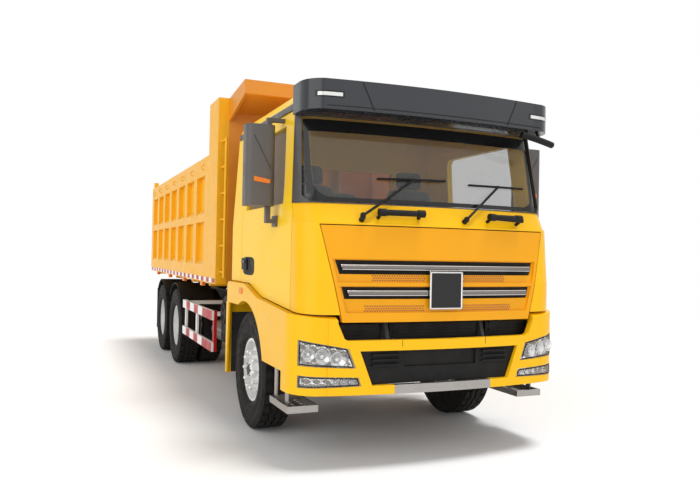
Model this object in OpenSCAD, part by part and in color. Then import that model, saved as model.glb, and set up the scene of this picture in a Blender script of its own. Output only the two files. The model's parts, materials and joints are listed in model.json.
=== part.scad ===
/* [Overall] */
// Front axle to the bumper's face
front_overhang = 1563; // [1480:1:1640]
// Front axle to the first rear axle
wheelbase = 4000; // [3900:10:4600]
// Spacing of the two rear axles
tandem = 1350; // [1300:10:1450]
// Second rear axle to the tailgate's outer face
rear_overhang = 1353; // [1300:1:1450]

/* [Wheels] */
// Radius of the tyres
tyre_r = 540; // [520:1:550]
// Width of one tyre
tyre_w = 290; // [260:1:300]
// Radius of the rim's flange
rim_r = 292; // [275:1:310]
// Distance between the front wheels' middle planes
front_track = 2080; // [2040:1:2100]
// Distance between the middles of the twin wheels
rear_track = 1840; // [1820:1:1850]
// Distance between the two wheels of a twin
twin_pitch = 335; // [325:1:345]

/* [Frame] */
// Width over the two frame rails
frame_w = 850; // [800:10:860]
// Height of a rail
rail_h = 280; // [240:10:300]
// Height of the rails' top above the ground
rail_top = 1040; // [1030:1:1050]
// Width of a rail's flanges
rail_flange = 90; // [70:5:100]
// Thickness of a rail's steel
rail_t = 10; // [8:1:14]

/* [Cab] */
// Width over the doors
cab_w = 2366; // [2340:2:2380]
// Front axle to the cab's back panel
cab_back = 720; // [700:1:760]
// Front axle to the middle of the cab's front face
cab_nose = 1530; // [1510:1:1535]
// Height of the roof above the ground
roof_z = 3000; // [2960:1:3040]
// Thickness of doors and body panels
cab_wall = 60; // [50:1:70]
// Gap between two panels
panel_gap = 8; // [6:0.5:12]
// Thickness of window glass
glass_t = 8; // [5:0.5:12]

/* [Bed] */
// Width over the bed's sides
bed_w = 2480; // [2440:2:2500]
// Thickness of the bed's walls
bed_wall = 120; // [100:1:130]
// Height of the floor's underside
bed_z = 1280; // [1270:1:1300]
// Thickness of the floor
bed_floor_t = 120; // [80:1:140]
// Height of the sides' top
side_top = 2775; // [2600:5:2900]
// Height of the front wall's top
front_top = 3360; // [3320:5:3400]
// Gap between the cab's back and the bed's front wall
cab_gap = 530; // [500:5:560]
// Columns of pockets pressed into each side
pocket_columns = 7; // [5:1:9]

/* [Hoist] */
// Outer radius of the hoist's cover tube
hoist_r = 105; // [95:1:115]
// Wall of each hoist tube
hoist_wall = 10; // [8:1:12]
// Running gap between two hoist tubes
hoist_gap = 0.5; // [0.3:0.1:1]

/* [Hidden] */
$fn = 64;
// Facets of the wide curves in plan
wide_fn = 720;
// Facets of large round corners and arches
corner_fn = 180;
// Overlap that makes a cut pass through
eps = 1;

overall_l = front_overhang + wheelbase + tandem + rear_overhang;
nose_x = overall_l / 2;
tail_x = -overall_l / 2;
front_x = nose_x - front_overhang;
rear1_x = front_x - wheelbase;
rear2_x = rear1_x - tandem;

// Rails
rail_y = frame_w / 2;
rail_bottom = rail_top - rail_h;
rail_front_x = front_x + 1120;

// Wheels and steering
wheel_y = front_track / 2;
kingpin_y = wheel_y - 165;
twin_y = rear_track / 2;
axle_r = 60;

// Cab
cab_y = cab_w / 2;
cab_rear_x = front_x - cab_back;
cab_front_x = front_x + cab_nose;
floor_z = 1230;
floor_t = 60;
tilt_x = front_x + 1380;
tilt_z = 950;
door_front_x = front_x + 1180;
door_rear_x = front_x - 330;
flap_top_z = 1862;
flap_bottom_z = 1122;
flap_top_y = 1030;
flap_bottom_y = 860;
glass_base_z = 2035;
glass_top_z = 2745;

// Bed
bed_y = bed_w / 2;
bed_inner_y = bed_y - bed_wall;
bed_front_x = cab_rear_x - cab_gap;
bed_floor_z = bed_z + bed_floor_t;
bed_rear_x = tail_x;
tall_l = 470;
sill_z = rail_top + 88;
sill_y = 410;
sill_w = 80;
hinge_x = tail_x + 556;
hinge_z = 1100;
gate_t = 100;
gate_pin_z = side_top - 60;
gate_pin_x = tail_x + 62;

// Hoist
hoist_x = cab_rear_x - 210;
hoist_pivot_z = 960;
hoist_top_z = 1750;
hoist_step = hoist_wall + hoist_gap;

// Box between two corners
module block(x0, x1, y0, y1, z0, z1) {
  translate([x0, y0, z0])
    cube([x1 - x0, y1 - y0, z1 - z0]);
}

// Side outline of x and z points, extruded from y0 to y1
module side_plate(points, y0, y1) {
  translate([0, y1, 0])
    rotate([90, 0, 0])
      linear_extrude(y1 - y0)
        polygon(points);
}

// Front outline of y and z points, extruded from x0 to x1
module front_plate(points, x0, x1) {
  translate([x0, 0, 0])
    rotate([90, 0, 90])
      linear_extrude(x1 - x0)
        polygon(points);
}

// Round bar along y
module bar_y(x, z, r, y0, y1) {
  translate([x, y1, z])
    rotate([90, 0, 0])
      cylinder(r = r, h = y1 - y0);
}

// Round bar along x
module bar_x(y, z, r, x0, x1) {
  translate([x0, y, z])
    rotate([0, 90, 0])
      cylinder(r = r, h = x1 - x0);
}

// A piece and its mirror image on the other side
module both_sides() {
  children();
  mirror([0, 1, 0])
    children();
}

// One channel rail on the left side, open towards the middle, rear_l long behind the bed's hinge
rear_l = 130;
module rail() {
  difference() {
    block(hinge_x - rear_l, rail_front_x, rail_y - rail_flange, rail_y, rail_bottom, rail_top);
    block(hinge_x - rear_l - eps, rail_front_x + eps, rail_y - rail_flange - eps, rail_y - rail_t,
      rail_bottom + rail_t, rail_top - rail_t);
  }
}

// Rails, cross members, bed hinge brackets with pins, and the end plate with its coupling holes
cross_x = [rail_front_x - 130, front_x - 540, rear1_x + 1200, rear1_x - 130, rear2_x - 230];
cross_w = 120;
hinge_r = 30;
hoist_pin_r = 25;
tilt_r = 28;
run_gap = 0.3;
floor_under = floor_z + 130;
hinge_bracket_w = 170;
coupling_y = 160;
coupling_z = 100;
coupling_r = 10.5;
coupling_centre_z = rail_bottom + 150;
module frame_rails() {
  inner_y = rail_y - rail_t;
  end_x = hinge_x - rear_l + 5;
  color("dimgray") {
    both_sides() {
      rail();
      // Hinge bracket that stands on the rail, with its pin
      side_plate([[hinge_x - hinge_bracket_w / 2, rail_top], [hinge_x + hinge_bracket_w / 2, rail_top],
        [hinge_x + 50, hinge_z + 50], [hinge_x - 50, hinge_z + 50]], rail_y - 45, rail_y);
      bar_y(hinge_x, hinge_z, hinge_r, rail_y, rail_y + 45);
    }
    // Cross member under the hoist, with the lugs that hold its pin
    block(hoist_x - 70, hoist_x + 70, -inner_y, inner_y, 850, 890);
    both_sides()
      block(hoist_x - 50, hoist_x + 50, 50, 80, 889, hoist_pivot_z + 35);
    bar_y(hoist_x, hoist_pivot_z, hoist_pin_r, -80, 80);
    both_sides() {
      // Bracket and pin that the cab tilts on
      side_plate([[front_x + 1000, rail_bottom + 20], [front_x + 1300, rail_bottom + 20], [tilt_x + 40, tilt_z - 30],
        [tilt_x + 40, tilt_z + 30], [tilt_x - 40, tilt_z + 40], [front_x + 1000, rail_top - 20]], rail_y - 45, rail_y - 5);
      bar_y(tilt_x, tilt_z, tilt_r, rail_y - 6, rail_y + 45);
      // Post under the cab's rear corner
      block(front_x - 640, front_x - 560, rail_y - rail_t / 2, 500, rail_top - 70, rail_top);
      block(front_x - 640, front_x - 560, 440, 500, rail_top - 70, floor_under - run_gap);
    }
    // Bumper brackets that carry the intake panel
    both_sides()
      block(rail_front_x, grille_x - grille_t, rail_y - rail_flange, rail_y, rail_bottom, rail_bottom + 90);
    for (x = cross_x)
      block(x, x + cross_w, -inner_y, inner_y, rail_bottom + 60, rail_top - 60);
    difference() {
      block(end_x, end_x + 20, -inner_y, inner_y, rail_bottom + 20, rail_top - 20);
      for (y = [-1, 1], z = [-1, 1])
        bar_x(y * coupling_y / 2, coupling_centre_z + z * coupling_z / 2, coupling_r, end_x - eps, end_x + 20 + eps);
    }
  }
}

// Front axle beam with its two kingpins, and the two rear axles
pin_r = 24;
beam_z = tyre_r - 40;
module front_axle() {
  color("dimgray") {
    front_plate([[-kingpin_y + 45, beam_z + 60], [-620, beam_z + 60], [-520, beam_z - 10], [520, beam_z - 10],
      [620, beam_z + 60], [kingpin_y - 45, beam_z + 60], [kingpin_y - 45, beam_z - 50], [600, beam_z - 50],
      [500, beam_z - 130], [-500, beam_z - 130], [-600, beam_z - 50], [-kingpin_y + 45, beam_z - 50]],
      front_x - 55, front_x + 55);
    both_sides() {
      translate([front_x, kingpin_y, beam_z - 55])
        cylinder(r = 50, h = 120);
      translate([front_x, kingpin_y, beam_z - 140])
        cylinder(r = pin_r, h = 290);
    }
  }
}

module axles() {
  front_axle();
  rear_axles();
}

// The two rear axle housings with their differentials and the stub ends
module rear_axles() {
  color("dimgray")
    for (x = [rear1_x, rear2_x]) {
      bar_y(x, tyre_r, 75, -twin_y + 130, twin_y - 130);
      bar_y(x, tyre_r, axle_r, -twin_y - 60, twin_y + 60);
      translate([x, 0, tyre_r])
        sphere(r = 210);
      bar_x(0, tyre_r + 20, 90, x, x + 330);
      bar_x(0, tyre_r + 20, 60, rear2_x, rear1_x);
    }
}

// Leaf packs: one over each front axle end and one over each rear pair, with their hangers
leaf_t = 14;
module leaf_springs() {
  color([0.16, 0.16, 0.17]) {
    both_sides() {
      for (i = [0 : 4])
        block(front_x - 800 + i * 130, front_x + 800 - i * 130, 335, 425,
          beam_z - 10 + (4 - i) * leaf_t, beam_z - 10 + (5 - i) * leaf_t);
      for (x = [-800, 740])
        block(front_x + x, front_x + x + 60, 345, 415, beam_z - 10 + 5 * leaf_t, rail_bottom);
      for (i = [0 : 7])
        block(rear2_x - 90 + i * 75, rear1_x + 90 - i * 75, 450, 550,
          tyre_r + 75 + i * leaf_t, tyre_r + 75 + (i + 1) * leaf_t);
      // Trunnion saddle between the two rear axles
      middle_x = (rear1_x + rear2_x) / 2;
      block(middle_x - 130, middle_x + 130, rail_y, 560, tyre_r + 75 + 8 * leaf_t, rail_top - 120);
    }
  }
}

// Engine, gearbox and the shaft to the rear axles
module drivetrain() {
  color([0.25, 0.27, 0.28]) {
    block(front_x - 350, front_x + 900, -270, 270, 640, 1400);
    block(front_x - 1150, front_x - 350, -200, 200, 560, 800);
    both_sides()
      block(front_x + 200, front_x + 290, 269, rail_y - rail_t, 800, 860);
    bar_x(0, 620, 60, rear1_x + 330, front_x - 1150);
  }
}

// Bumper: a thick band with rounded corners, lamp openings and the trapezoid intake
bumper_y = 1235;
bumper_z = 572;
bumper_t = 60;
bumper_rear_x = front_x + 450;
bumper_curve = 6200;
bumper_corner = 260;
bumper_corner_x = nose_x - 85 - bumper_corner;
arch_r = 640;
module bumper_form(inset) {
  low = bumper_z - inset;
  high = 1260 + inset;
  intersection() {
    block(bumper_rear_x - inset, nose_x, -bumper_y + inset, bumper_y - inset, low, high);
    translate([nose_x - inset - bumper_curve, 0, low - eps])
      cylinder(r = bumper_curve, h = high - low + 2 * eps, $fn = wide_fn);
    union() {
      block(bumper_rear_x - 100, bumper_corner_x, -bumper_y + inset, bumper_y - inset, low, high);
      block(bumper_rear_x - 100, nose_x, -bumper_y + bumper_corner, bumper_y - bumper_corner, low, high);
      both_sides()
        translate([bumper_corner_x, bumper_y - bumper_corner, low])
          cylinder(r = bumper_corner - inset, h = high - low, $fn = corner_fn);
    }
  }
}
// Openings on the right side, as y and z points
lamp_points = [[-1180, 990], [-815, 925], [-755, 775], [-1180, 795]];
fog_points = [[-1180, 722], [-735, 706], [-712, 640], [-1180, 628]];
intake_points = [[-725, 905], [725, 905], [625, 640], [-625, 640]];
// Top edge from the wheel arch to the nose, as distance from the front axle and height
bumper_top = [[350, 1247], [450, 1238], [1000, 1200], [1250, 1182], [1400, 1170], [1450, 1160], [1500, 1138], [1700, 1060]];
// Top edge seen from the front, low under the front flap
bumper_dip = [[-905, 1300], [-900, 1115], [-850, 1000], [-820, 985], [820, 985], [850, 1000], [900, 1115], [905, 1300]];
module wheel_arch(r) {
  bar_y(front_x, tyre_r, r, -2000, 2000, $fn = corner_fn);
}
module bumper() {
  color([0.98, 0.68, 0.05])
    difference() {
      bumper_form(0);
      bumper_form(bumper_t);
      side_plate(concat([for (p = bumper_top) [front_x + p[0], p[1]]], [[front_x + 1700, 1500], [front_x + 350, 1500]]),
        -bumper_y - eps, bumper_y + eps);
      front_plate(bumper_dip, bumper_corner_x, nose_x + eps);
      both_sides() {
        front_plate(lamp_points, bumper_corner_x, nose_x + eps);
        front_plate(fog_points, bumper_corner_x, nose_x + eps);
        // Step in the lower edge behind the corner
        block(bumper_rear_x - eps, front_x + 1140, bumper_y - bumper_t - eps, bumper_y + eps, bumper_z - eps, 720);
      }
      front_plate(intake_points, bumper_corner_x, nose_x + eps);
      block(bumper_corner_x, nose_x + eps, -step_y, step_y, bumper_z - eps, step_top + eps);
      wheel_arch(arch_r);
    }
}

// Black intake panel in the trapezoid opening, with louvres and a plate recess
grille_x = nose_x - 75;
grille_t = 40;
module bumper_grille() {
  color([0.08, 0.08, 0.09]) {
    difference() {
      front_plate(intake_points, grille_x - grille_t, grille_x);
      block(grille_x - grille_t / 2, grille_x + eps, -330, 330, 770, 890);
    }
    both_sides()
      for (z = [790, 830, 870])
        block(grille_x, grille_x + 30, 380, 620, z - 8, z + 8);
  }
}

// Bright tread plate that forms the middle of the bumper's lower lip
step_y = 440;
step_top = 640;
module bumper_step() {
  color("silver")
    intersection() {
      difference() {
        bumper_form(0);
        bumper_form(bumper_t);
      }
      block(bumper_corner_x, nose_x, -step_y, step_y, bumper_z, step_top);
    }
}

// Head lamps, lower lamps and the marker lamps, each a block that fills its opening
module lamp_lens(points, depth) {
  intersection() {
    difference() {
      bumper_form(4);
      bumper_form(4 + depth);
    }
    front_plate(points, bumper_corner_x, nose_x);
  }
}
module lamps() {
  color([0.85, 0.88, 0.9])
    both_sides() {
      lamp_lens(lamp_points, bumper_t - 10);
      lamp_lens(fog_points, bumper_t - 10);
    }
}

// Fenders over the front wheels, under the doors
fender_top = [[-690, 1320], [-640, 1344], [-30, 1344], [400, 1242], [450, 1238]];
fender_low = 1130;
module fenders() {
  color([0.99, 0.75, 0.08])
    both_sides()
      difference() {
        side_plate(concat([for (p = fender_top) [front_x + p[0], p[1]]],
          [[bumper_rear_x, 900], [front_x, 900], [front_x, fender_low], [front_x - 690, fender_low]]),
          bumper_y - bumper_t, bumper_y);
        wheel_arch(arch_r);
      }
  front_mudguards();
}

// Mudguards behind the front wheels, with a lip on the outer edge
module front_mudguards() {
  x = front_x - 720;
  color([0.98, 0.7, 0.06])
    both_sides() {
      block(x, x + 25, 880, bumper_y, 400, fender_low);
      side_plate([[x + 25, 400], [x + 45, 420], [x + 100, fender_low], [x + 25, fender_low]], bumper_y - 25, bumper_y);
    }
}

// Entry steps: a tray on two hangers from the bumper's inner face
module entry_steps() {
  tray_z = 400;
  inner = bumper_y - bumper_t;
  bumper_step();
  color("silver")
    both_sides() {
      difference() {
        block(front_x + 770, front_x + 1235, 950, inner + 30, tray_z, tray_z + 55);
        block(front_x + 785, front_x + 1220, 965, inner + 15, tray_z + 12, tray_z + 56);
        for (i = [0 : 5], j = [0 : 2])
          translate([front_x + 830 + i * 70, 1000 + j * 80, tray_z - eps])
            cylinder(r = 18, h = 20);
      }
      for (x = [front_x + 800, front_x + 1080])
        block(x, x + 60, inner - 12, inner, tray_z + 12, 860);
    }
}

// Fuel tank on the left, a box with round edges on two brackets
module rounded_bar(x0, x1, y0, y1, z0, z1, r) {
  block(x0, x1, y0 + r, y1 - r, z0, z1);
  block(x0, x1, y0, y1, z0 + r, z1 - r);
  for (y = [y0 + r, y1 - r], z = [z0 + r, z1 - r])
    bar_x(y, z, r, x0, x1);
}
module fuel_tank() {
  x0 = front_x - 2650;
  x1 = front_x - 1540;
  color([0.12, 0.12, 0.13]) {
    rounded_bar(x0, x1, rail_y + 60, 1060, 430, 990, 110);
    for (x = [x0 + 220, x1 - 280])
      block(x, x + 60, rail_y, rail_y + 60, 560, 990);
    translate([x1 - 150, 800, 989])
      cylinder(r = 55, h = 50);
  }
}

// Air tanks low on the right, on brackets under the rail
module air_tanks() {
  color("silver") {
    for (y = [-800, -520])
      bar_x(y, 600, 125, front_x - 2850, front_x - 2050);
    for (x = [front_x - 2700, front_x - 2250])
      block(x, x + 50, -820, -340, 700, rail_bottom);
  }
}

// Battery box and the air cleaner behind the right front wheel
module air_intake() {
  x = front_x - 1230;
  color([0.1, 0.1, 0.11]) {
    bar_y(x, 960, 190, -1120, -rail_y);
    bar_y(x, 960, 120, -1150, -1119);
    block(front_x - 1950, front_x - 1540, -1000, -rail_y, 560, 960);
    intake_duct();
  }
}

// Pleated intake duct behind the cab with its cap
duct_x = cab_rear_x - 75;
duct_y = -990;
module intake_duct() {
    translate([duct_x, duct_y, 1140])
      cylinder(r = 35, h = 1500);
    for (i = [0 : 17])
      translate([duct_x, duct_y, 1500 + i * 62])
        cylinder(r = 48, h = 32);
    block(duct_x - 45, duct_x + 45, duct_y - 60, duct_y + 60, 2600, 2760);
    // Elbow down to the air cleaner
    side_plate([[front_x - 1230, 1100], [duct_x - 40, 1140], [duct_x + 40, 1140], [duct_x + 40, 1060],
      [front_x - 1230, 1000]], duct_y - 40, duct_y + 40);
}

// Side guards: two rails on three posts, each side, carried by arms from the frame
module side_guards() {
  x0 = front_x - 3330;
  x1 = front_x - 1460;
  y = 1195;
  color([0.9, 0.9, 0.9])
    both_sides() {
      for (z = [500, 860])
        block(x0, x1, y, y + 30, z, z + 110);
      for (x = [x0, (x0 + x1) / 2 - 160, x1 - 60])
        block(x, x + 60, y - 30, y, 500, 970);
      for (x = [x0, x1 - 60])
        block(x, x + 60, rail_y, y - 30, 905, 955);
    }
}

// Mudguards over the rear wheels on arms from the frame
rear_arch_r = 620;
module rear_mudguards() {
  color([0.09, 0.09, 0.09])
    both_sides() {
      for (x = [rear1_x, rear2_x]) {
        difference() {
          bar_y(x, tyre_r, rear_arch_r + 12, 760, bumper_y, $fn = corner_fn);
          bar_y(x, tyre_r, rear_arch_r, 760 - eps, bumper_y + eps, $fn = corner_fn);
          block(x - 700, x + 700, 700, bumper_y + 2 * eps, -200, tyre_r + 420);
        }
        block(x - 30, x + 30, rail_y, rail_y + 20, rail_top - 200, 1160);
        block(x - 30, x + 30, rail_y + 19, 800, 1135, 1162);
      }
    }
}

// Underrun bar below the tail with its hangers and the tail lamp boxes
module rear_bumper() {
  x = tail_x + 330;
  color([0.14, 0.14, 0.15]) {
    block(x, x + 60, -1100, 1100, 460, 590);
    both_sides()
      block(x + 60, hinge_x - 60, rail_y, rail_y + 22, 470, rail_top - 60);
  }
}
module tail_lamps() {
  x = tail_x + 310;
  color([0.7, 0.06, 0.05])
    both_sides()
      block(x, x + 20, 620, 1060, 475, 575);
}

// One tyre about its own axis, which lies along y through the origin
module tyre_ring() {
  half = tyre_w / 2;
  rotate([90, 0, 0])
    rotate_extrude($fn = 96)
      polygon([[rim_r, -half + 35], [rim_r + 30, -half + 12], [rim_r + 110, -half], [tyre_r - 70, -half],
        [tyre_r - 18, -half + 12], [tyre_r, -half + 38], [tyre_r, half - 38], [tyre_r - 18, half - 12],
        [tyre_r - 70, half], [rim_r + 110, half], [rim_r + 30, half - 12], [rim_r, half - 35]]);
}

// Profile of radius and outward distance, turned about an axis along y with its outer side towards +y
module turned(points) {
  rotate([-90, 0, 0])
    rotate_extrude($fn = 96)
      polygon(points);
}

// Hand holes and stud circle shared by all rims
hand_holes = 10;
hand_r = 27;
hand_circle = 236;
stud_circle = 168;
module on_circle(count, radius) {
  for (i = [0 : count - 1])
    rotate([0, i * 360 / count, 0])
      translate([radius, 0, 0])
        children();
}

// Front rim: barrel, dished disc, hub on the spindle and its cap
spindle_r = 40;
rim_half = tyre_w / 2 - 35;
front_hub_end = 110;
module front_rim() {
  bore = spindle_r + run_gap;
  difference() {
    union() {
      turned([[rim_r, -rim_half], [rim_r, rim_half], [rim_r - 22, rim_half], [rim_r - 28, 40], [250, 34], [205, 78],
        [bore, 78], [bore, 60], [198, 60], [240, 18], [rim_r - 34, 20], [rim_r - 26, -rim_half]]);
      turned([[bore, -80], [bore, front_hub_end], [0, front_hub_end], [0, 140], [55, 140], [78, 125], [78, 70],
        [135, 70], [135, -80]]);
      on_circle(hand_holes, stud_circle)
        bar_y(0, 0, 16, 70, 120);
    }
    on_circle(hand_holes, hand_circle - 10)
      bar_y(0, 0, hand_r, -20, 100);
  }
}

// Twin rims back to back on one hub
module twin_rims() {
  bore = axle_r + run_gap;
  for (side = [-1, 1])
    translate([0, side * twin_pitch / 2, 0])
      mirror([0, side < 0 ? 1 : 0, 0])
        difference() {
          turned([[rim_r, -rim_half], [rim_r, rim_half], [rim_r - 22, rim_half], [rim_r - 28, -20],
            [250, -70], [205, -twin_pitch / 2 + 42], [118, -twin_pitch / 2 + 42], [118, -twin_pitch / 2],
            [215, -twin_pitch / 2], [rim_r - 8, -rim_half]]);
          on_circle(hand_holes, hand_circle)
            bar_y(0, 0, hand_r, -200, 0);
        }
  turned([[bore, -120], [bore, 75], [0, 75], [0, 130], [85, 130], [100, 115], [100, 60], [120, 60], [120, -120]]);
  on_circle(hand_holes, stud_circle)
    bar_y(0, 0, 15, 40, 75);
}

// The six wheels: x, y of the middle plane, and 1 on the left side or -1 on the right
module wheel_at(x, y) {
  translate([x, y, tyre_r])
    mirror([0, y < 0 ? 1 : 0, 0])
      children();
}
module front_tyre(y) {
  color([0.06, 0.06, 0.065])
    wheel_at(front_x, y)
      tyre_ring();
}
module front_wheel_rim(y) {
  color("silver")
    wheel_at(front_x, y)
      front_rim();
}
module twin_tyres(x, y) {
  color([0.06, 0.06, 0.065])
    wheel_at(x, y)
      for (side = [-1, 1])
        translate([0, side * twin_pitch / 2, 0])
          tyre_ring();
}
module twin_wheel_rims(x, y) {
  color("silver")
    wheel_at(x, y)
      twin_rims();
}

// Steering knuckle on the left: two eyes on the kingpin, web, spindle and the arm to the tie rod
arm_x = 200;
arm_z = 380;
arm_t = 40;
tie_pin_r = 12;
module knuckle_form() {
  bore = pin_r + run_gap;
  difference() {
    union() {
      for (z = [beam_z - 130, beam_z + 70])
        translate([front_x, kingpin_y, z])
          cylinder(r = 48, h = 70);
      for (z = [beam_z - 130, beam_z + 70])
        block(front_x - 45, front_x + 45, kingpin_y, kingpin_y + 70, z, z + 70);
      block(front_x - 60, front_x + 60, kingpin_y + 55, kingpin_y + 80, beam_z - 130, beam_z + 140);
      bar_y(front_x, tyre_r, spindle_r, kingpin_y + 55, wheel_y + 100);
      bar_y(front_x, tyre_r, 58, kingpin_y + 55, wheel_y - 85);
      block(front_x - arm_x, front_x, kingpin_y - 25, kingpin_y + 25, arm_z, arm_z + arm_t);
      translate([front_x - arm_x, kingpin_y, arm_z])
        cylinder(r = 30, h = arm_t);
    }
    translate([front_x, kingpin_y, beam_z - 200])
      cylinder(r = bore, h = 400);
    translate([front_x - arm_x, kingpin_y, arm_z - eps])
      cylinder(r = tie_pin_r + run_gap, h = arm_t + 2 * eps);
  }
}
module knuckle_right() {
  color("dimgray")
    mirror([0, 1, 0])
      knuckle_form();
}
module knuckle_left() {
  color("dimgray")
    knuckle_form();
}
module tie_rod() {
  x = front_x - arm_x;
  rod_z = arm_z - 24;
  color([0.2, 0.2, 0.2]) {
    bar_y(x, rod_z, 20, -kingpin_y - 25, kingpin_y + 25);
    both_sides()
      translate([x, kingpin_y, rod_z])
        cylinder(r = tie_pin_r, h = arm_t + 24);
  }
}

// Bed floor with its two sills and the hinge ears round the frame's pins
ear_y = rail_y + 5;
ear_t = 32;
module bed_floor() {
  color([0.95, 0.62, 0.08])
    difference() {
      union() {
        block(bed_rear_x, bed_front_x - bed_wall, -bed_inner_y, bed_inner_y, bed_z, bed_floor_z);
        both_sides() {
          block(hinge_x + 140, bed_front_x - 20, sill_y - sill_w, sill_y, sill_z, bed_z);
          side_plate([[hinge_x - 130, bed_z], [hinge_x - 65, hinge_z - 50], [hinge_x + 65, hinge_z - 50],
            [hinge_x + 130, bed_z]], ear_y, ear_y + ear_t);
        }
        for (x = [bed_rear_x + 60, rear2_x + 700, rear1_x + 700, bed_front_x - 900])
          block(x, x + 100, -bed_inner_y, bed_inner_y, bed_z - 60, bed_z);
      }
      both_sides()
        bar_y(hinge_x, hinge_z, hinge_r + run_gap, ear_y - eps, ear_y + ear_t + eps);
    }
}

// Side walls with two rows of pockets, a rear post with the tailgate's pin, and the tall front end
pocket_margin = 170;
pocket_rows = [[1480, 2000], [2090, 2560]];
pocket_depth = 55;
module bed_side() {
  step_x = bed_front_x - tall_l;
  first_x = bed_rear_x + 220;
  pitch = (step_x - 40 - first_x) / pocket_columns;
  difference() {
    side_plate([[bed_rear_x, bed_z], [bed_front_x, bed_z], [bed_front_x, front_top], [step_x, front_top],
      [step_x, side_top], [bed_rear_x, side_top]], bed_inner_y, bed_y);
    for (i = [0 : pocket_columns - 1], row = pocket_rows) {
      x = first_x + i * pitch;
      // The pocket's lower edge slopes outwards
      translate([x, 0, 0])
        front_plate([[bed_y + eps, row[0]], [bed_y - pocket_depth, row[0] + 70], [bed_y - pocket_depth, row[1]],
          [bed_y + eps, row[1]]], 0, pitch - pocket_margin);
    }
  }
  bar_y(gate_pin_x, gate_pin_z, gate_pin_r, bed_inner_y - 40, bed_inner_y);
  // Post over the rear corner
  block(bed_rear_x, bed_rear_x + 110, bed_inner_y + 30, bed_y - 20, side_top, side_top + 110);
}
module bed_sides() {
  color([0.98, 0.68, 0.1])
    both_sides()
      bed_side();
}

// Front wall with the guard over the cab, its gussets, and the hoist's bracket
guard_l = 660;
guard_y = bed_inner_y;
gusset_t = 30;
module bed_front() {
  color([0.86, 0.5, 0.08]) {
    block(bed_front_x - bed_wall, bed_front_x, -bed_inner_y, bed_inner_y, bed_z, front_top);
    side_plate([[bed_front_x, 3200], [bed_front_x + 390, 3257], [bed_front_x + guard_l - 30, 3290],
      [bed_front_x + guard_l - 30, 3270], [bed_front_x + guard_l, 3280], [bed_front_x + guard_l, 3425],
      [bed_front_x + guard_l - 30, 3425], [bed_front_x + guard_l - 30, 3330], [bed_front_x + 390, 3297],
      [bed_front_x, 3240]], gusset_t - guard_y, guard_y - gusset_t);
    both_sides()
      side_plate([[bed_front_x, 3100], [bed_front_x + guard_l, 3280], [bed_front_x + guard_l, 3425],
        [bed_front_x, front_top]], guard_y - gusset_t, guard_y);
    // Ribs on the front face
    for (y = [-700, 700])
      block(bed_front_x, bed_front_x + 40, y - 60, y + 60, bed_floor_z, 3150);
    hoist_bracket();
  }
}

// Saddle that takes the trunnion of the hoist's cover: two cheeks with slots open to the front and below
trunnion_r = 35;
cheek_y = hoist_r + 20;
cheek_t = 30;
module hoist_bracket() {
  difference() {
    both_sides()
      side_plate([[bed_front_x, hoist_top_z - 260], [hoist_x + 10, hoist_top_z + 10], [hoist_x + 60, hoist_top_z + 70],
        [hoist_x, hoist_top_z + 130], [bed_front_x, hoist_top_z + 200]], cheek_y, cheek_y + cheek_t);
    both_sides()
      side_plate([[hoist_x - 45, hoist_top_z + 36], [hoist_x + 300, hoist_top_z + 36], [hoist_x + 300, hoist_top_z - 300],
        [hoist_x - 45, hoist_top_z - 120]], cheek_y - eps, cheek_y + cheek_t + eps);
  }
}

// Ladder at the right end of the front wall, climbed from the side: a post with rungs back to the wall
ladder_rungs = 6;
ladder_pitch = 290;
ladder_reach = 190;
module bed_ladder() {
  x = bed_front_x + ladder_reach;
  y = -bed_y + 50;
  low = 1420;
  color([0.98, 0.66, 0.1]) {
    translate([x, y, low - 60])
      cylinder(r = 16, h = (ladder_rungs - 1) * ladder_pitch + 76);
    for (i = [0 : ladder_rungs - 1])
      bar_x(y, low + i * ladder_pitch, 13, bed_front_x, x);
  }
}

// Tailgate on its top barrel, with ribs on the outer face
gate_pin_r = 25;
gate_y = bed_inner_y - 8;
module tailgate() {
  color([0.95, 0.62, 0.08])
    difference() {
      union() {
        block(tail_x + 22, tail_x + gate_t, -gate_y, gate_y, bed_floor_z + 10, gate_pin_z);
        bar_y(gate_pin_x, gate_pin_z, 50, -gate_y, gate_y);
        for (y = [-900, -450, 0, 450, 900])
          block(tail_x, tail_x + 23, y - 60, y + 60, bed_floor_z + 60, gate_pin_z - 80);
        for (z = [bed_floor_z + 40, 2020, gate_pin_z - 160])
          block(tail_x, tail_x + 23, -gate_y, gate_y, z, z + 90);
      }
      both_sides()
        bar_y(gate_pin_x, gate_pin_z, gate_pin_r + run_gap, gate_y - 45, gate_y + eps);
    }
}

// Hoist: a base tube on a cross pin, two stages and the cover that carries the trunnion
stage_radius = [hoist_r - 1 * hoist_step, hoist_r - 2 * hoist_step, hoist_r - 3 * hoist_step];
module hoist_tube(r, z0, z1) {
  difference() {
    translate([hoist_x, 0, z0])
      cylinder(r = r, h = z1 - z0);
    translate([hoist_x, 0, z0 - eps])
      cylinder(r = r - hoist_wall, h = z1 - z0 + 2 * eps);
  }
}

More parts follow.
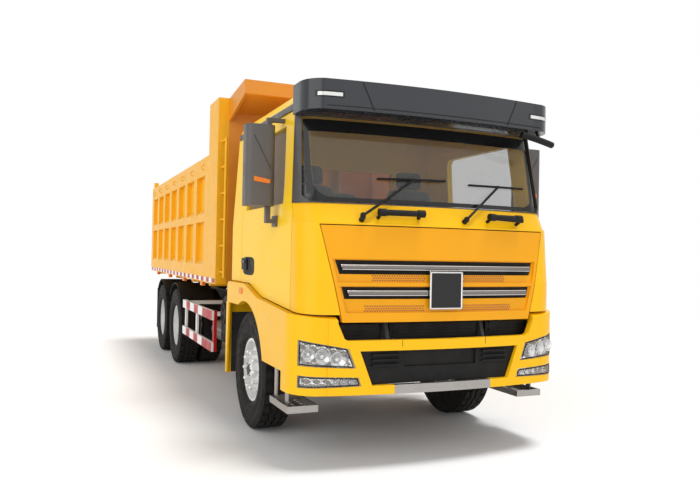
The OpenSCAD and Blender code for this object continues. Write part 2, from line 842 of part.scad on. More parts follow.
hoist_low = hoist_pivot_z + 80;
hoist_high = 2850;
hoist_cap = 20;
module hoist_base() {
  color("silver") {
    difference() {
      union() {
        bar_y(hoist_x, hoist_pivot_z, 45, -45, 45);
        block(hoist_x - 35, hoist_x + 35, -45, 45, hoist_pivot_z, hoist_low + 1);
        translate([hoist_x, 0, hoist_low])
          cylinder(r = stage_radius[2], h = hoist_cap);
      }
      bar_y(hoist_x, hoist_pivot_z, hoist_pin_r + run_gap, -46, 46);
    }
    hoist_tube(stage_radius[2], hoist_low, hoist_high);
  }
}
module hoist_stage_1() {
  color("silver")
    hoist_tube(stage_radius[1], hoist_low + 15, hoist_high + 10);
}
module hoist_stage_2() {
  color("silver")
    hoist_tube(stage_radius[0], hoist_low + 30, hoist_high + 20);
}
module hoist_cover() {
  color([0.95, 0.62, 0.08]) {
    hoist_tube(hoist_r, hoist_low + 45, hoist_high + 40);
    translate([hoist_x, 0, hoist_high + 35])
      cylinder(r = hoist_r, h = hoist_cap);
    both_sides()
      bar_y(hoist_x, hoist_top_z, trunnion_r, hoist_r - 5, cheek_y + cheek_t + 10);
  }
}

// Outer form of the cab, drawn in by inset: a side profile, a front outline and four plan prisms,
// upright below, then leaning back in three steps
cab_curve = 7500;
cab_corner = 230;
cowl_slope = 28.7;
glass_slope = 13.4;
cowl_x = front_x + 1405;
cowl_low_z = 1885;
cowl_low_x = cowl_x + (glass_base_z - cowl_low_z) * tan(cowl_slope);
lean_z = 1424;
// The upright part stands proud of the leaning one by a fine ledge
ledge = 1.5;
flap_slope = atan((cab_front_x - cowl_low_x) / (cowl_low_z - lean_z));
// The plan is a hair wider than the front outline, which gives the flat sides
plan_y = cab_y + 0.5;
module cab_plan(x, inset) {
  centre_x = x - 60 - cab_corner;
  intersection() {
    translate([x - inset - cab_curve, 0, -1500])
      cylinder(r = cab_curve, h = 3000, $fn = wide_fn);
    union() {
      block(x - 4000, centre_x, inset - plan_y, plan_y - inset, -1500, 1500);
      block(x - 4000, x + 200, cab_corner - plan_y, plan_y - cab_corner, -1500, 1500);
      both_sides()
        translate([centre_x, plan_y - cab_corner, -1500])
          cylinder(r = cab_corner - inset, h = 3000, $fn = corner_fn);
    }
  }
}
module tilted_plan(x, z, slope, inset) {
  translate([x, 0, z])
    rotate([0, -slope, 0])
      cab_plan(0, inset);
}
// Side profile as distance from the front axle and height
cab_profile = [[-cab_back, 1000], [cab_nose + 70, 1000], [cab_nose + 70, 2300], [1235, 2790],
  [1170, 2870], [1040, 2955], [850, roof_z], [-560, roof_z], [-680, roof_z - 45], [-cab_back, roof_z - 140]];
// Half of the front outline as width and height
cab_outline = [[cab_y, 1000], [cab_y, 1900], [1125, 2840], [1090, 2925], [1020, 2980], [880, roof_z + 10]];
module cab_form(inset) {
  intersection() {
    translate([front_x, 1500, 0])
      rotate([90, 0, 0])
        linear_extrude(3000)
          offset(delta = -inset)
            polygon(cab_profile);
    translate([cab_rear_x - 500, 0, 0])
      rotate([90, 0, 90])
        linear_extrude(3500)
          offset(delta = -inset)
            polygon(concat(cab_outline, [for (i = [len(cab_outline) - 1 : -1 : 0]) [-cab_outline[i][0], cab_outline[i][1]]]));
    union() {
      intersection() {
        translate([0, 0, 1500])
          cab_plan(cab_front_x + ledge, inset);
        block(cab_rear_x - 100, nose_x, -1500, 1500, 900, lean_z);
      }
      intersection() {
        tilted_plan(cowl_low_x, cowl_low_z, flap_slope, inset);
        block(cab_rear_x - 100, nose_x, -1500, 1500, lean_z, cowl_low_z);
      }
      intersection() {
        tilted_plan(cowl_low_x, cowl_low_z, cowl_slope, inset);
        block(cab_rear_x - 100, nose_x, -1500, 1500, cowl_low_z, glass_base_z);
      }
      intersection() {
        tilted_plan(cowl_x, glass_base_z, glass_slope, inset);
        block(cab_rear_x - 100, nose_x, -1500, 1500, glass_base_z, 3200);
      }
    }
  }
}
module cab_shell(outer, inner) {
  difference() {
    cab_form(outer);
    cab_form(inner);
  }
}

// Lower edge of the cab's sides, as distance from the front axle and height
cab_hem = [[-800, 1352], [-26, 1352], [404, 1250], [1340, 1186], [1700, 1170]];
module below_hem() {
  side_plate(concat([for (p = cab_hem) [front_x + p[0], p[1]]], [[front_x + 1700, 800], [front_x - 800, 800]]), -1500, 1500);
}
roof_line = 2800;
door_top = roof_line - panel_gap;
module door_outline(grow) {
  side_plate([[door_rear_x - grow, 1100], [door_front_x + grow, 1100], [door_front_x + grow, 1975],
    [door_front_x - 35 + grow, glass_base_z], [door_front_x - 140 + grow, door_top + grow],
    [door_rear_x - grow, door_top + grow]], -1500, 1500);
}
window_points = [[door_rear_x + 110, 2045], [door_front_x - 250, 2045], [door_front_x - 255, 2220],
  [door_front_x - 322, 2690], [door_rear_x + 150, 2690], [door_rear_x + 110, 2640]];
screen_points = [[-1080, glass_base_z + 8], [1080, glass_base_z + 8], [1128, glass_base_z + 60], [1098, glass_top_z],
  [-1098, glass_top_z], [-1128, glass_base_z + 60]];
rear_window = [[-620, 2060], [620, 2060], [620, 2560], [-620, 2560]];
flap_points = [[-flap_top_y, flap_top_z], [flap_top_y, flap_top_z], [flap_bottom_y, flap_bottom_z],
  [-flap_bottom_y, flap_bottom_z]];
// The opening for the flap runs on past its lower edge at the same slant
flap_more = 300;
flap_low_y = flap_bottom_y - (flap_top_y - flap_bottom_y) * flap_more / (flap_top_z - flap_bottom_z);
module flap_outline(grow) {
  front_plate([[-flap_top_y - grow, flap_top_z + grow], [flap_top_y + grow, flap_top_z + grow],
    [flap_low_y + grow, flap_bottom_z - flap_more], [-flap_low_y - grow, flap_bottom_z - flap_more]],
    front_x + 1250, nose_x + 100);
}

// Back panel with the two rear side panels
module cab_rear() {
  color([1, 0.78, 0.1])
    difference() {
      intersection() {
        cab_shell(0, cab_wall);
        block(cab_rear_x - 10, door_rear_x - panel_gap, -1500, 1500, floor_z, roof_line);
      }
      below_hem();
      front_plate(rear_window, cab_rear_x - 100, cab_rear_x + 200);
    }
}

// Roof with the rounded edges
module cab_roof() {
  color([1, 0.78, 0.1])
    intersection() {
      cab_shell(0, cab_wall);
      block(cab_rear_x - 10, nose_x, -1500, 1500, roof_line, roof_z + 100);
    }
}

// Corners, cowl and the frame round the front flap
module cab_front() {
  color([1, 0.8, 0.08])
    difference() {
      intersection() {
        cab_shell(0, cab_wall);
        block(door_front_x - 60, nose_x, -1500, 1500, 1000, glass_base_z);
      }
      below_hem();
      door_outline(panel_gap);
      flap_outline(panel_gap);
    }
}

// Dark pillars and the frame round the windscreen, with the drip rails
rail_out = 12;
module cab_pillars() {
  color([0.27, 0.25, 0.25])
    difference() {
      intersection() {
        cab_shell(0, cab_wall);
        block(door_front_x - 260, nose_x, -1500, 1500, glass_base_z, roof_line);
      }
      door_outline(panel_gap);
      front_plate(screen_points, front_x + 900, nose_x + 100);
    }
  // Drip rails along the roof's sides
  color([0.27, 0.25, 0.25])
    intersection() {
      cab_shell(-rail_out, 0);
      both_sides()
        block(cab_rear_x + 40, visor_back_x - 2, 900, 1500, roof_line - 4, roof_line + 50);
    }
}

// Windscreen and rear window
module cab_glass() {
  color([0.3, 0.36, 0.38, 0.5]) {
    intersection() {
      cab_shell(24, 24 + glass_t);
      front_plate(screen_points, front_x + 900, nose_x + 100);
    }
    intersection() {
      cab_shell(24, 24 + glass_t);
      front_plate(rear_window, cab_rear_x - 100, cab_rear_x + 100);
    }
  }
}

// Floor with the engine tunnel and the bulkhead behind the front flap
tunnel_y = 420;
tunnel_z = 1500;
leg_y = rail_y + 5;
leg_t = 32;
module cab_floor() {
  inner_y = cab_y - cab_wall - 20;
  x0 = cab_rear_x + cab_wall;
  x1 = front_x + 1290;
  color([0.2, 0.2, 0.21]) {
    difference() {
      union() {
        block(x0, x1, -inner_y, inner_y, floor_under, floor_under + floor_t);
        block(x0, front_x + 1080, -tunnel_y, tunnel_y, floor_z, tunnel_z);
        // Bulkhead up to the cowl
        block(x1 - 40, x1, -1000, 1000, floor_under, 1900);
        // Legs down to the tilt pins
        both_sides() {
          bar_y(tilt_x, tilt_z, 58, leg_y, leg_y + leg_t);
          side_plate([[tilt_x - 56, tilt_z], [tilt_x + 56, tilt_z], [x1, floor_under + 1], [x1 - 140, floor_under + 1]],
            leg_y, leg_y + leg_t);
        }
      }
      both_sides()
        bar_y(tilt_x, tilt_z, tilt_r + run_gap, leg_y - eps, leg_y + leg_t + eps);
      block(x0 + 60, front_x + 1020, -tunnel_y + 60, tunnel_y - 60, floor_z - 10, tunnel_z - 50);
    }
  }
}

// Doors: left one by its own outline, right one as its mirror image
module door_form() {
  difference() {
    intersection() {
      cab_shell(0, cab_wall);
      door_outline(0);
      block(cab_rear_x, nose_x, 900, 1500, 1000, door_top);
    }
    below_hem();
    side_plate(window_points, 900, 1500);
  }
  // Handle housing on the outer skin
  block(door_rear_x + 70, door_rear_x + 230, cab_y - 5, cab_y + 14, 1480, 1580);
}
module door_left() {
  color([1, 0.8, 0.1])
    door_form();
}
module door_right() {
  color([1, 0.8, 0.1])
    mirror([0, 1, 0])
      door_form();
}
module door_pane() {
  intersection() {
    cab_shell(26, 26 + glass_t);
    side_plate(window_points, 900, 1500);
  }
}
module door_glass_left() {
  color([0.35, 0.42, 0.45, 0.5])
    door_pane();
}
module door_glass_right() {
  color([0.35, 0.42, 0.45, 0.5])
    mirror([0, 1, 0])
      door_pane();
}

// Mirror on two arms from the door: housing with rounded edges
mirror_x = front_x + 790;
mirror_t = 180;
mirror_y = 1225;
mirror_w = 245;
mirror_low = 2025;
mirror_high = 2690;
arm_low = 1905;
arm_high = 2745;
module mirror_form() {
  r = 55;
  translate([mirror_x, 0, 0]) {
    block(r - mirror_t / 2, mirror_t / 2 - r, mirror_y, mirror_y + mirror_w, mirror_low, mirror_high);
    block(-mirror_t / 2, mirror_t / 2, mirror_y + r, mirror_y + mirror_w - r, mirror_low, mirror_high);
    for (x = [-1, 1], y = [mirror_y + r, mirror_y + mirror_w - r])
      translate([x * (mirror_t / 2 - r), y, mirror_low])
        cylinder(r = r, h = mirror_high - mirror_low);
  }
  // Arms to the door's skin, above and below the window
  difference() {
    translate([mirror_x, 0, 0]) {
      block(-70, 30, cab_y - 80, cab_y + 22, arm_low - 45, arm_low + 45);
      block(-25, 25, cab_y - 80, mirror_y + 60, arm_low - 18, arm_low + 18);
      block(-25, 25, mirror_y + 20, mirror_y + 60, arm_low - 18, mirror_low + 10);
      block(-25, 25, cab_y - 80, mirror_y + 60, arm_high - 15, arm_high + 15);
      block(-25, 25, mirror_y + 20, mirror_y + 60, mirror_high - 10, arm_high + 15);
    }
    cab_form(0);
  }
}
module mirror_left() {
  color([0.25, 0.24, 0.24])
    mirror_form();
}
module mirror_right() {
  color([0.25, 0.24, 0.24])
    mirror([0, 1, 0])
      mirror_form();
}

// Front flap: blank upper field over a sunk grille field with two slots
flap_t = 40;
flap_edge_t = 8;
flap_edge_h = 30;
field_depth = 16;
// Slots and sunk fields as half width and height at the top, then at the bottom
slots = [[918, 1598, 885, 1490], [870, 1393, 845, 1300]];
fields = [[940, 1606, 902, 1428], [890, 1400, 832, 1195]];
module flap_cut(s) {
  front_plate([[-s[0], s[1]], [s[0], s[1]], [s[2], s[3]], [-s[2], s[3]]], front_x + 1250, nose_x + 100);
}
module front_panel() {
  color([0.98, 0.68, 0.05])
    difference() {
      intersection() {
        cab_shell(0, flap_t);
        front_plate(flap_points, front_x + 1250, nose_x + 100);
      }
      for (s = slots)
        flap_cut(s);
      difference() {
        for (s = fields)
          flap_cut(s);
        cab_form(field_depth);
      }
      // Thin upper edge that turns clear of the cowl
      intersection() {
        cab_form(flap_edge_t);
        block(front_x + 1250, nose_x + 100, -1500, 1500, flap_top_z - flap_edge_h, flap_top_z + 10);
      }
    }
}

// Black mesh panels behind the slots, the bright bars and the square badge plate on its foot
bar_h = 44;
bar_ends = [863, 815];
module bright_bar(slot, outer, inner) {
  z = (slot[1] + slot[3]) / 2;
  lead = inner < 0 ? -18 : 0;
  intersection() {
    cab_shell(-6, 26);
    front_plate([[inner + lead, z + bar_h / 2], [outer + 18, z + bar_h / 2], [outer, z - bar_h / 2],
      [inner, z - bar_h / 2]], front_x + 1250, nose_x + 100);
  }
}
module front_grille() {
  color([0.1, 0.1, 0.11])
    for (s = slots)
      intersection() {
        cab_shell(26, flap_t);
        flap_cut(s);
      }
}
badge_z = 1368;
badge_half = 150;
badge_t = 24;
module grille_bars() {
  color("silver") {
    // One bar across the upper slot, two beside the badge in the lower one
    bright_bar(slots[0], bar_ends[0], -bar_ends[0]);
    both_sides()
      bright_bar(slots[1], bar_ends[1], badge_half + 4);
    translate([cab_front_x + ledge, -badge_half, badge_z - badge_half])
      cube([badge_t, 2 * badge_half, 2 * badge_half]);
  }
}

// Visor over the windscreen
visor_x = front_x + 1521;
visor_back_x = front_x + 1080;
visor_low = 2745;
visor_top = 2978;
visor_inset = 26;
visor_t = 40;
module visor() {
  color([0.16, 0.18, 0.2])
    difference() {
      intersection() {
        translate([0, 0, 1500])
          cab_plan(visor_x, visor_inset);
        block(visor_back_x, nose_x, -1500, 1500, visor_low, visor_top);
      }
      intersection() {
        translate([0, 0, 1500])
          cab_plan(visor_x, visor_inset + visor_t);
        block(front_x + 900, nose_x, -1500, 1500, visor_low + 20, visor_top + 10);
      }
      cab_form(0);
    }
}

// Dashboard with the steering column and wheel on the right
wheel_x = front_x + 640;
steer_y = -560;
module dashboard() {
  color([0.17, 0.17, 0.18]) {
    side_plate([[front_x + 900, 1700], [front_x + 1250, 1700], [front_x + 1250, 1960], [front_x + 1180, 1990],
      [front_x + 960, 1990], [front_x + 880, 1900]], -1000, 1000);
    translate([wheel_x, steer_y, 1980])
      rotate([0, 125, 0])
        cylinder(r = 30, h = 420);
    translate([wheel_x, steer_y, 1980])
      rotate([0, 125, 0]) {
        rotate_extrude()
          translate([215, 0])
            circle(r = 16);
        for (a = [0, 120, 240])
          rotate([0, 0, a])
            translate([0, -15, -8])
              cube([215, 30, 16]);
      }
  }
}

// Two seats on their bases
module seat(y) {
  x = front_x - 80;
  block(x, x + 430, y - 130, y + 130, floor_under + floor_t, 1620);
  block(x - 30, x + 490, y - 250, y + 250, 1619, 1740);
  side_plate([[x - 30, 1739], [x + 110, 1739], [x, 2330], [x - 110, 2330]], y - 250, y + 250);
  side_plate([[x - 100, 2330], [x - 10, 2330], [x - 40, 2520], [x - 120, 2520]], y - 140, y + 140);
}
module seats() {
  color([0.22, 0.22, 0.24]) {
    seat(-560);
    seat(560);
  }
}

// Wiper pivots and the two grab bars on the cowl, each grab bar as its middle and half length across
pivot_y = [-700, 215];
grab_table = [[-385, 175], [605, 155]];
grab_off = 66;
grab_up = 62;
module on_cowl(y) {
  translate([cowl_low_x, 0, cowl_low_z])
    rotate([0, -cowl_slope, 0])
      translate([sqrt(cab_curve * cab_curve - y * y) - cab_curve, y, 0])
        rotate([0, 0, asin(y / cab_curve)])
          children();
}
module cowl_stub(y, up, r) {
  translate([-30, y, up])
    rotate([0, 90, 0])
      cylinder(r = r, h = 150);
}
module wipers() {
  color([0.06, 0.06, 0.06]) {
    intersection() {
      cab_shell(-45, 0);
      for (y = pivot_y)
        on_cowl(y)
          cowl_stub(0, 45, 22);
    }
    for (g = grab_table)
      union() {
        intersection() {
          cab_shell(-grab_off - 6, 0);
          on_cowl(g[0])
            for (side = [-1, 1])
              cowl_stub(side * g[1], grab_up, 14);
        }
        on_cowl(g[0])
          bar_y(grab_off, grab_up, 17, -g[1] - 20, g[1] + 20);
      }
  }
}

frame_rails();
axles();
leaf_springs();
drivetrain();
bumper();
bumper_grille();
lamps();
fenders();
entry_steps();
fuel_tank();
air_tanks();
air_intake();
side_guards();
rear_mudguards();
rear_bumper();
tail_lamps();
knuckle_right();
knuckle_left();
tie_rod();
cab_floor();
cab_rear();
cab_roof();
cab_front();
cab_pillars();
cab_glass();
visor();
dashboard();
seats();
wipers();
door_right();
door_left();
door_glass_right();
door_glass_left();
mirror_right();
mirror_left();
front_panel();
front_grille();
grille_bars();
bed_floor();
bed_sides();
bed_front();
bed_ladder();
tailgate();
hoist_base();
hoist_stage_1();
hoist_stage_2();
hoist_cover();
front_tyre(-wheel_y);  // tyre_front_right
front_tyre(wheel_y);  // tyre_front_left
front_wheel_rim(-wheel_y);  // rim_front_right
front_wheel_rim(wheel_y);  // rim_front_left
twin_tyres(rear1_x, -twin_y);  // tyres_mid_right
twin_wheel_rims(rear1_x, -twin_y);  // rims_mid_right
twin_tyres(rear1_x, twin_y);  // tyres_mid_left
twin_wheel_rims(rear1_x, twin_y);  // rims_mid_left
twin_tyres(rear2_x, -twin_y);  // tyres_rear_right
twin_wheel_rims(rear2_x, -twin_y);  // rims_rear_right
twin_tyres(rear2_x, twin_y);  // tyres_rear_left
twin_wheel_rims(rear2_x, twin_y);  // rims_rear_left
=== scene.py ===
"""Dump truck with a cab-over cab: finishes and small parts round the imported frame.

Metres, +X forward, +Z up."""
import json
import math

import bmesh
import bpy
from mathutils import Matrix, Vector
from mathutils.bvhtree import BVHTree


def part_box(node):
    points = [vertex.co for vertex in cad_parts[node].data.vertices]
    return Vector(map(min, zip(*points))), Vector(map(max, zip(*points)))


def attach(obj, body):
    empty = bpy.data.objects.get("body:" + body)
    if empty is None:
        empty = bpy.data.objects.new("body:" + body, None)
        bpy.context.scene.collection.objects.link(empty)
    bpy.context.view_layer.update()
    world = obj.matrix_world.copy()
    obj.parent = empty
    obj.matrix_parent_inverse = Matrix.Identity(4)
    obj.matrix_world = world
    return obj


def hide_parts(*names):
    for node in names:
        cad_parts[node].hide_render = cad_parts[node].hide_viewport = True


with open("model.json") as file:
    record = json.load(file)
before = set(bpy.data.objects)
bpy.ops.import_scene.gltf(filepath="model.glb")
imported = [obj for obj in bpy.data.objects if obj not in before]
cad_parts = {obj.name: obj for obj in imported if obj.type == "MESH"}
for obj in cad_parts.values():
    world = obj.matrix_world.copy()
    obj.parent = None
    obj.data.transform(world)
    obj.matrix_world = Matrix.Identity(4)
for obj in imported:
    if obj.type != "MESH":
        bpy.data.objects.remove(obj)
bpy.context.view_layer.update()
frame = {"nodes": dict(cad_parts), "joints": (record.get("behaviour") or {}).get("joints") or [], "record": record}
nodes = frame["nodes"]
joints = {j["name"]: j for j in frame["joints"]}

# Places taken from the frame
FRONT_X, WHEEL_Y, WHEEL_Z = joints["front_left_spin"]["pos_m"]
MID_X = joints["mid_left_spin"]["pos_m"][0]
REAR_X, TWIN_Y = joints["rear_left_spin"]["pos_m"][:2]
SIDES = (("right", -1), ("left", 1))
# Rays to a surface start ahead of the truck or well out to its side
AHEAD = FRONT_X + 3.0
ASIDE = 3.0
SHARP_ANGLE = math.radians(35)


# Materials

def shader(name, color, roughness=0.5, metallic=0.0, vary=0.08, scale=2.5, grain=0.0, grain_scale=400.0,
           **more):
    """A material whose colour and roughness vary a little over the surface, with a fine grain where asked.

    More values go to the shader's own sockets, with an underscore for a space."""
    material = bpy.data.materials.new(name)
    material.use_nodes = True
    tree = material.node_tree
    link = tree.links.new
    bsdf = tree.nodes["Principled BSDF"]
    bsdf.inputs["Metallic"].default_value = metallic
    for socket, value in more.items():
        bsdf.inputs[socket.replace("_", " ")].default_value = value
    place = tree.nodes.new("ShaderNodeTexCoord").outputs["Object"]

    def noise(size, detail):
        node = tree.nodes.new("ShaderNodeTexNoise")
        node.inputs["Scale"].default_value = size
        node.inputs["Detail"].default_value = detail
        link(place, node.inputs["Vector"])
        return node.outputs["Fac"]

    patches = noise(scale, 5.0)
    mix = tree.nodes.new("ShaderNodeMix")
    mix.data_type = "RGBA"
    mix.inputs["A"].default_value = (*(c * (1 - vary) for c in color), 1.0)
    mix.inputs["B"].default_value = (*(min(c * (1 + vary), 1.0) for c in color), 1.0)
    link(patches, mix.inputs["Factor"])
    link(mix.outputs["Result"], bsdf.inputs["Base Color"])
    spread = tree.nodes.new("ShaderNodeMapRange")
    spread.inputs["From Min"].default_value = 0.3
    spread.inputs["From Max"].default_value = 0.7
    spread.inputs["To Min"].default_value = roughness * 0.8
    spread.inputs["To Max"].default_value = min(roughness * 1.25, 1.0)
    link(noise(scale * 4, 6.0), spread.inputs["Value"])
    link(spread.outputs["Result"], bsdf.inputs["Roughness"])
    if grain:
        bump = tree.nodes.new("ShaderNodeBump")
        bump.inputs["Strength"].default_value = grain
        bump.inputs["Distance"].default_value = 0.002
        link(noise(grain_scale, 3.0), bump.inputs["Height"])
        link(bump.outputs["Normal"], bsdf.inputs["Normal"])
    return material


def clear(name, color, alpha, roughness=0.03):
    """Thin clear glass that lets light and colour through."""
    return shader(name, color, roughness, vary=0.03, Alpha=alpha, Specular_IOR_Level=0.8)


PAINT = dict(roughness=0.34, vary=0.035, Coat_Weight=0.08, Coat_Roughness=0.06, Specular_IOR_Level=0.18)
# One yellow paint in three copies. The lighter one for the doors, back and roof is painted light. The cab's own
# one is for the other painted parts. The darker, more orange one for the front panel is painted shade.
LIT_SIDE_PAINT = shader("side_paint", (0.97, 0.60, 0.010), **PAINT)
CAB_PAINT = shader("cab_paint", (0.92, 0.50, 0.004), **PAINT)
SHADED_FRONT_PAINT = shader("front_paint", (0.85, 0.365, 0.004), **PAINT)
BED_PAINT = shader("bed_paint", (0.89, 0.445, 0.012), 0.40, vary=0.07, grain=0.05, grain_scale=60,
                   Coat_Weight=0.08, Coat_Roughness=0.25, Specular_IOR_Level=0.2)
# The bed's paint in a darker copy for its front wall: painted shade from the cab
BED_FRONT_PAINTED_SHADE = shader("bed_front_paint", (0.72, 0.27, 0.018), 0.45, vary=0.08, grain=0.05, grain_scale=60)
CHASSIS = shader("chassis_black", (0.020, 0.020, 0.022), 0.50, vary=0.25, grain=0.1, grain_scale=120)
BLACK = shader("black_plastic", (0.0085, 0.008, 0.0078), 0.55, vary=0.2, grain=0.15, grain_scale=700,
               Specular_IOR_Level=0.2)
GREY = shader("grey_plastic", (0.040, 0.036, 0.035), 0.42, vary=0.1, grain=0.1, grain_scale=700)
VISOR = shader("visor_paint", (0.020, 0.023, 0.028), 0.24, vary=0.08, Coat_Weight=0.25, Coat_Roughness=0.05,
               Specular_IOR_Level=0.3)
CHROME = shader("chrome", (0.56, 0.55, 0.54), 0.14, 1.0, vary=0.04)
# Dark chrome for the grille's bright bars: the bars are chrome, and their darkness is a painted reflection
BAR_CHROME_PAINTED_REFLECTION = shader("bar_chrome", (0.17, 0.155, 0.145), 0.16, 1.0, vary=0.12, scale=1.6)
MIRROR_GREY = shader("mirror_grey", (0.110, 0.100, 0.096), 0.45, vary=0.1, grain=0.1, grain_scale=700,
                     Specular_IOR_Level=0.3)
BRIGHT = shader("bright_steel", (0.36, 0.34, 0.32), 0.34, 1.0, vary=0.1, grain=0.08, grain_scale=200)
WHEEL = shader("wheel_silver", (0.76, 0.76, 0.75), 0.34, 0.3, vary=0.06)
TYRE = shader("tyre_rubber", (0.014, 0.0125, 0.011), 0.78, vary=0.25, scale=6.0, grain=0.2, grain_scale=300,
              Specular_IOR_Level=0.2)
GLASS = clear("window_glass", (0.12, 0.13, 0.125), 0.22)
LENS = clear("lamp_lens", (0.80, 0.83, 0.85), 0.20)
TAIL_RED = shader("tail_red", (0.42, 0.008, 0.006), 0.15, vary=0.05, Coat_Weight=0.5)
INTERIOR = shader("interior", (0.045, 0.045, 0.048), 0.6, vary=0.1, grain=0.2, grain_scale=500)
FABRIC = shader("seat_fabric", (0.040, 0.040, 0.046), 0.88, vary=0.2, grain=0.6, grain_scale=900,
                Sheen_Weight=0.3)
WHITE = shader("guard_white", (0.80, 0.79, 0.77), 0.32, vary=0.05)
RED = shader("guard_red", (0.40, 0.012, 0.012), 0.36, vary=0.08, Specular_IOR_Level=0.15)
ORANGE = shader("marker_orange", (0.78, 0.20, 0.008), 0.28, vary=0.06, Coat_Weight=0.08,
                Specular_IOR_Level=0.25)
STEEL = shader("hoist_steel", (0.42, 0.43, 0.44), 0.3, 1.0, vary=0.08)
DARK = shader("gloss_black", (0.008, 0.008, 0.008), 0.16, vary=0.1, Coat_Weight=0.06, Specular_IOR_Level=0.25)
BULB = shader("bulb_glass", (0.70, 0.70, 0.68), 0.1, 0.2, vary=0.05)
# Brown of the dimples in the front strips: the yellow paint in painted shade
DIMPLE_PAINTED_SHADE = shader("dimple_brown", (0.42, 0.13, 0.02), 0.6, vary=0.1)
RUBBER = shader("flap_rubber", (0.016, 0.016, 0.017), 0.8, vary=0.2, grain=0.2, grain_scale=300)
LOOKING_GLASS = shader("mirror_glass", (0.82, 0.84, 0.86), 0.03, 1.0, vary=0.02)

SLOT_MATERIAL = {
    "cab_paint": CAB_PAINT, "bed_paint": BED_PAINT, "chassis_black": CHASSIS, "black_plastic": BLACK,
    "grey_plastic": GREY, "visor_paint": VISOR, "chrome": CHROME, "bright_steel": BRIGHT,
    "wheel_silver": WHEEL, "tyre": TYRE, "glass": GLASS, "lamp_lens": LENS, "tail_red": TAIL_RED,
    "interior": INTERIOR, "seat_fabric": FABRIC, "guard_white": WHITE, "steel": STEEL,
}
# These nodes take the lit or shaded copy of the paint (painted light and shade) and the bed front's painted shade;
# the mirrors take their own grey
NODE_MATERIAL = {
    "door_right": LIT_SIDE_PAINT, "door_left": LIT_SIDE_PAINT, "cab_rear": LIT_SIDE_PAINT, "cab_roof": LIT_SIDE_PAINT,
    "front_panel": SHADED_FRONT_PAINT, "bed_front": BED_FRONT_PAINTED_SHADE, "mirror_right": MIRROR_GREY,
    "mirror_left": MIRROR_GREY,
}
# Edges of these stay as they are: clear panes, fine meshes and what a piece stands for
PLAIN_EDGES = ("cab_glass", "door_glass_right", "door_glass_left", "lamps", "seats")
EDGE_R = 0.005
WELD_GAP = 0.00002
SPLIT_ANGLE = math.radians(30)


def round_off(piece, width, segments):
    """Rounds the sharp edges of a piece a little."""
    bevel = piece.modifiers.new("edges", "BEVEL")
    bevel.width = width
    bevel.segments = segments
    bevel.limit_method = "ANGLE"
    bevel.angle_limit = SHARP_ANGLE
    bevel.harden_normals = True


def dress(name, material):
    """Gives a node its finish, smooth curves and slightly rounded edges."""
    piece = nodes[name]
    piece.data.materials.clear()
    piece.data.materials.append(material)
    if "custom_normal" in piece.data.attributes:
        piece.data.attributes.remove(piece.data.attributes["custom_normal"])
    piece.data.shade_smooth()
    weld = piece.modifiers.new("weld", "WELD")
    weld.merge_threshold = WELD_GAP
    if name in PLAIN_EDGES or name.startswith(("tyre", "rim")):
        split = piece.modifiers.new("split", "EDGE_SPLIT")
        split.split_angle = SPLIT_ANGLE
    else:
        round_off(piece, EDGE_R, 2)


for part in frame["record"]["subparts"]:
    dress(part["node"], NODE_MATERIAL.get(part["node"], SLOT_MATERIAL[part["material_slot"]]))


# Camera of the photograph, as a pinhole fitted to it

IMAGE_W = 700
IMAGE_H = 487
FOCAL_PX = 678.13
CENTRE_PX = (335.80, 247.55)
CAMERA_AT = Vector((FRONT_X + 6.210, -2.881, 1.640))
YAW, PITCH, ROLL = (math.radians(a) for a in (157.567, 0.561, 1.132))
SENSOR_MM = 36


def new_object(name, data):
    """Puts an object with the given data into the scene."""
    made = bpy.data.objects.new(name, data)
    bpy.context.scene.collection.objects.link(made)
    return made


def camera_axes():
    """The camera's right, up and forward."""
    forward = Vector((math.cos(YAW) * math.cos(PITCH), math.sin(YAW) * math.cos(PITCH), math.sin(PITCH)))
    right = forward.cross(Vector((0, 0, 1))).normalized()
    up = right.cross(forward)
    cos, sin = math.cos(ROLL), math.sin(ROLL)
    return right * cos + up * sin, up * cos - right * sin, forward


def add_camera():
    right, up, forward = camera_axes()
    data = bpy.data.cameras.new("camera")
    data.sensor_width = SENSOR_MM
    data.lens = FOCAL_PX * SENSOR_MM / IMAGE_W
    data.shift_x = (IMAGE_W / 2 - CENTRE_PX[0]) / IMAGE_W
    data.shift_y = (CENTRE_PX[1] - IMAGE_H / 2) / IMAGE_W
    data.clip_end = 200
    camera = new_object("camera", data)
    camera.matrix_world = Matrix.Translation(CAMERA_AT) @ Matrix((right, up, -forward)).transposed().to_4x4()
    bpy.context.scene.camera = camera


# Places on the solids, found by a ray

trees = {}


def surface(name, start, way):
    """Point where a ray first meets a node."""
    if name not in trees:
        mesh = nodes[name].data
        trees[name] = BVHTree.FromPolygons([v.co for v in mesh.vertices], [p.vertices for p in mesh.polygons])
    point = trees[name].ray_cast(Vector(start), Vector(way).normalized())[0]
    if point is None:
        raise ValueError(f"no surface of {name} from {start}")
    return point


def front_of(name, y, z):
    """Distance forward of a node's face at a place across and up."""
    return surface(name, (AHEAD, y, z), (-1, 0, 0)).x


def front_point(name, y, z, off=0.0):
    """Point on a node's face, or off before it, at a place across and up."""
    return Vector((front_of(name, y, z) + off, y, z))


def skin_of(name, x, z, sign):
    """Distance across of a node's outer face on one side, at a place along and up."""
    return abs(surface(name, (x, sign * ASIDE, z), (0, -sign, 0)).y)


# Simple solids, added to a bmesh

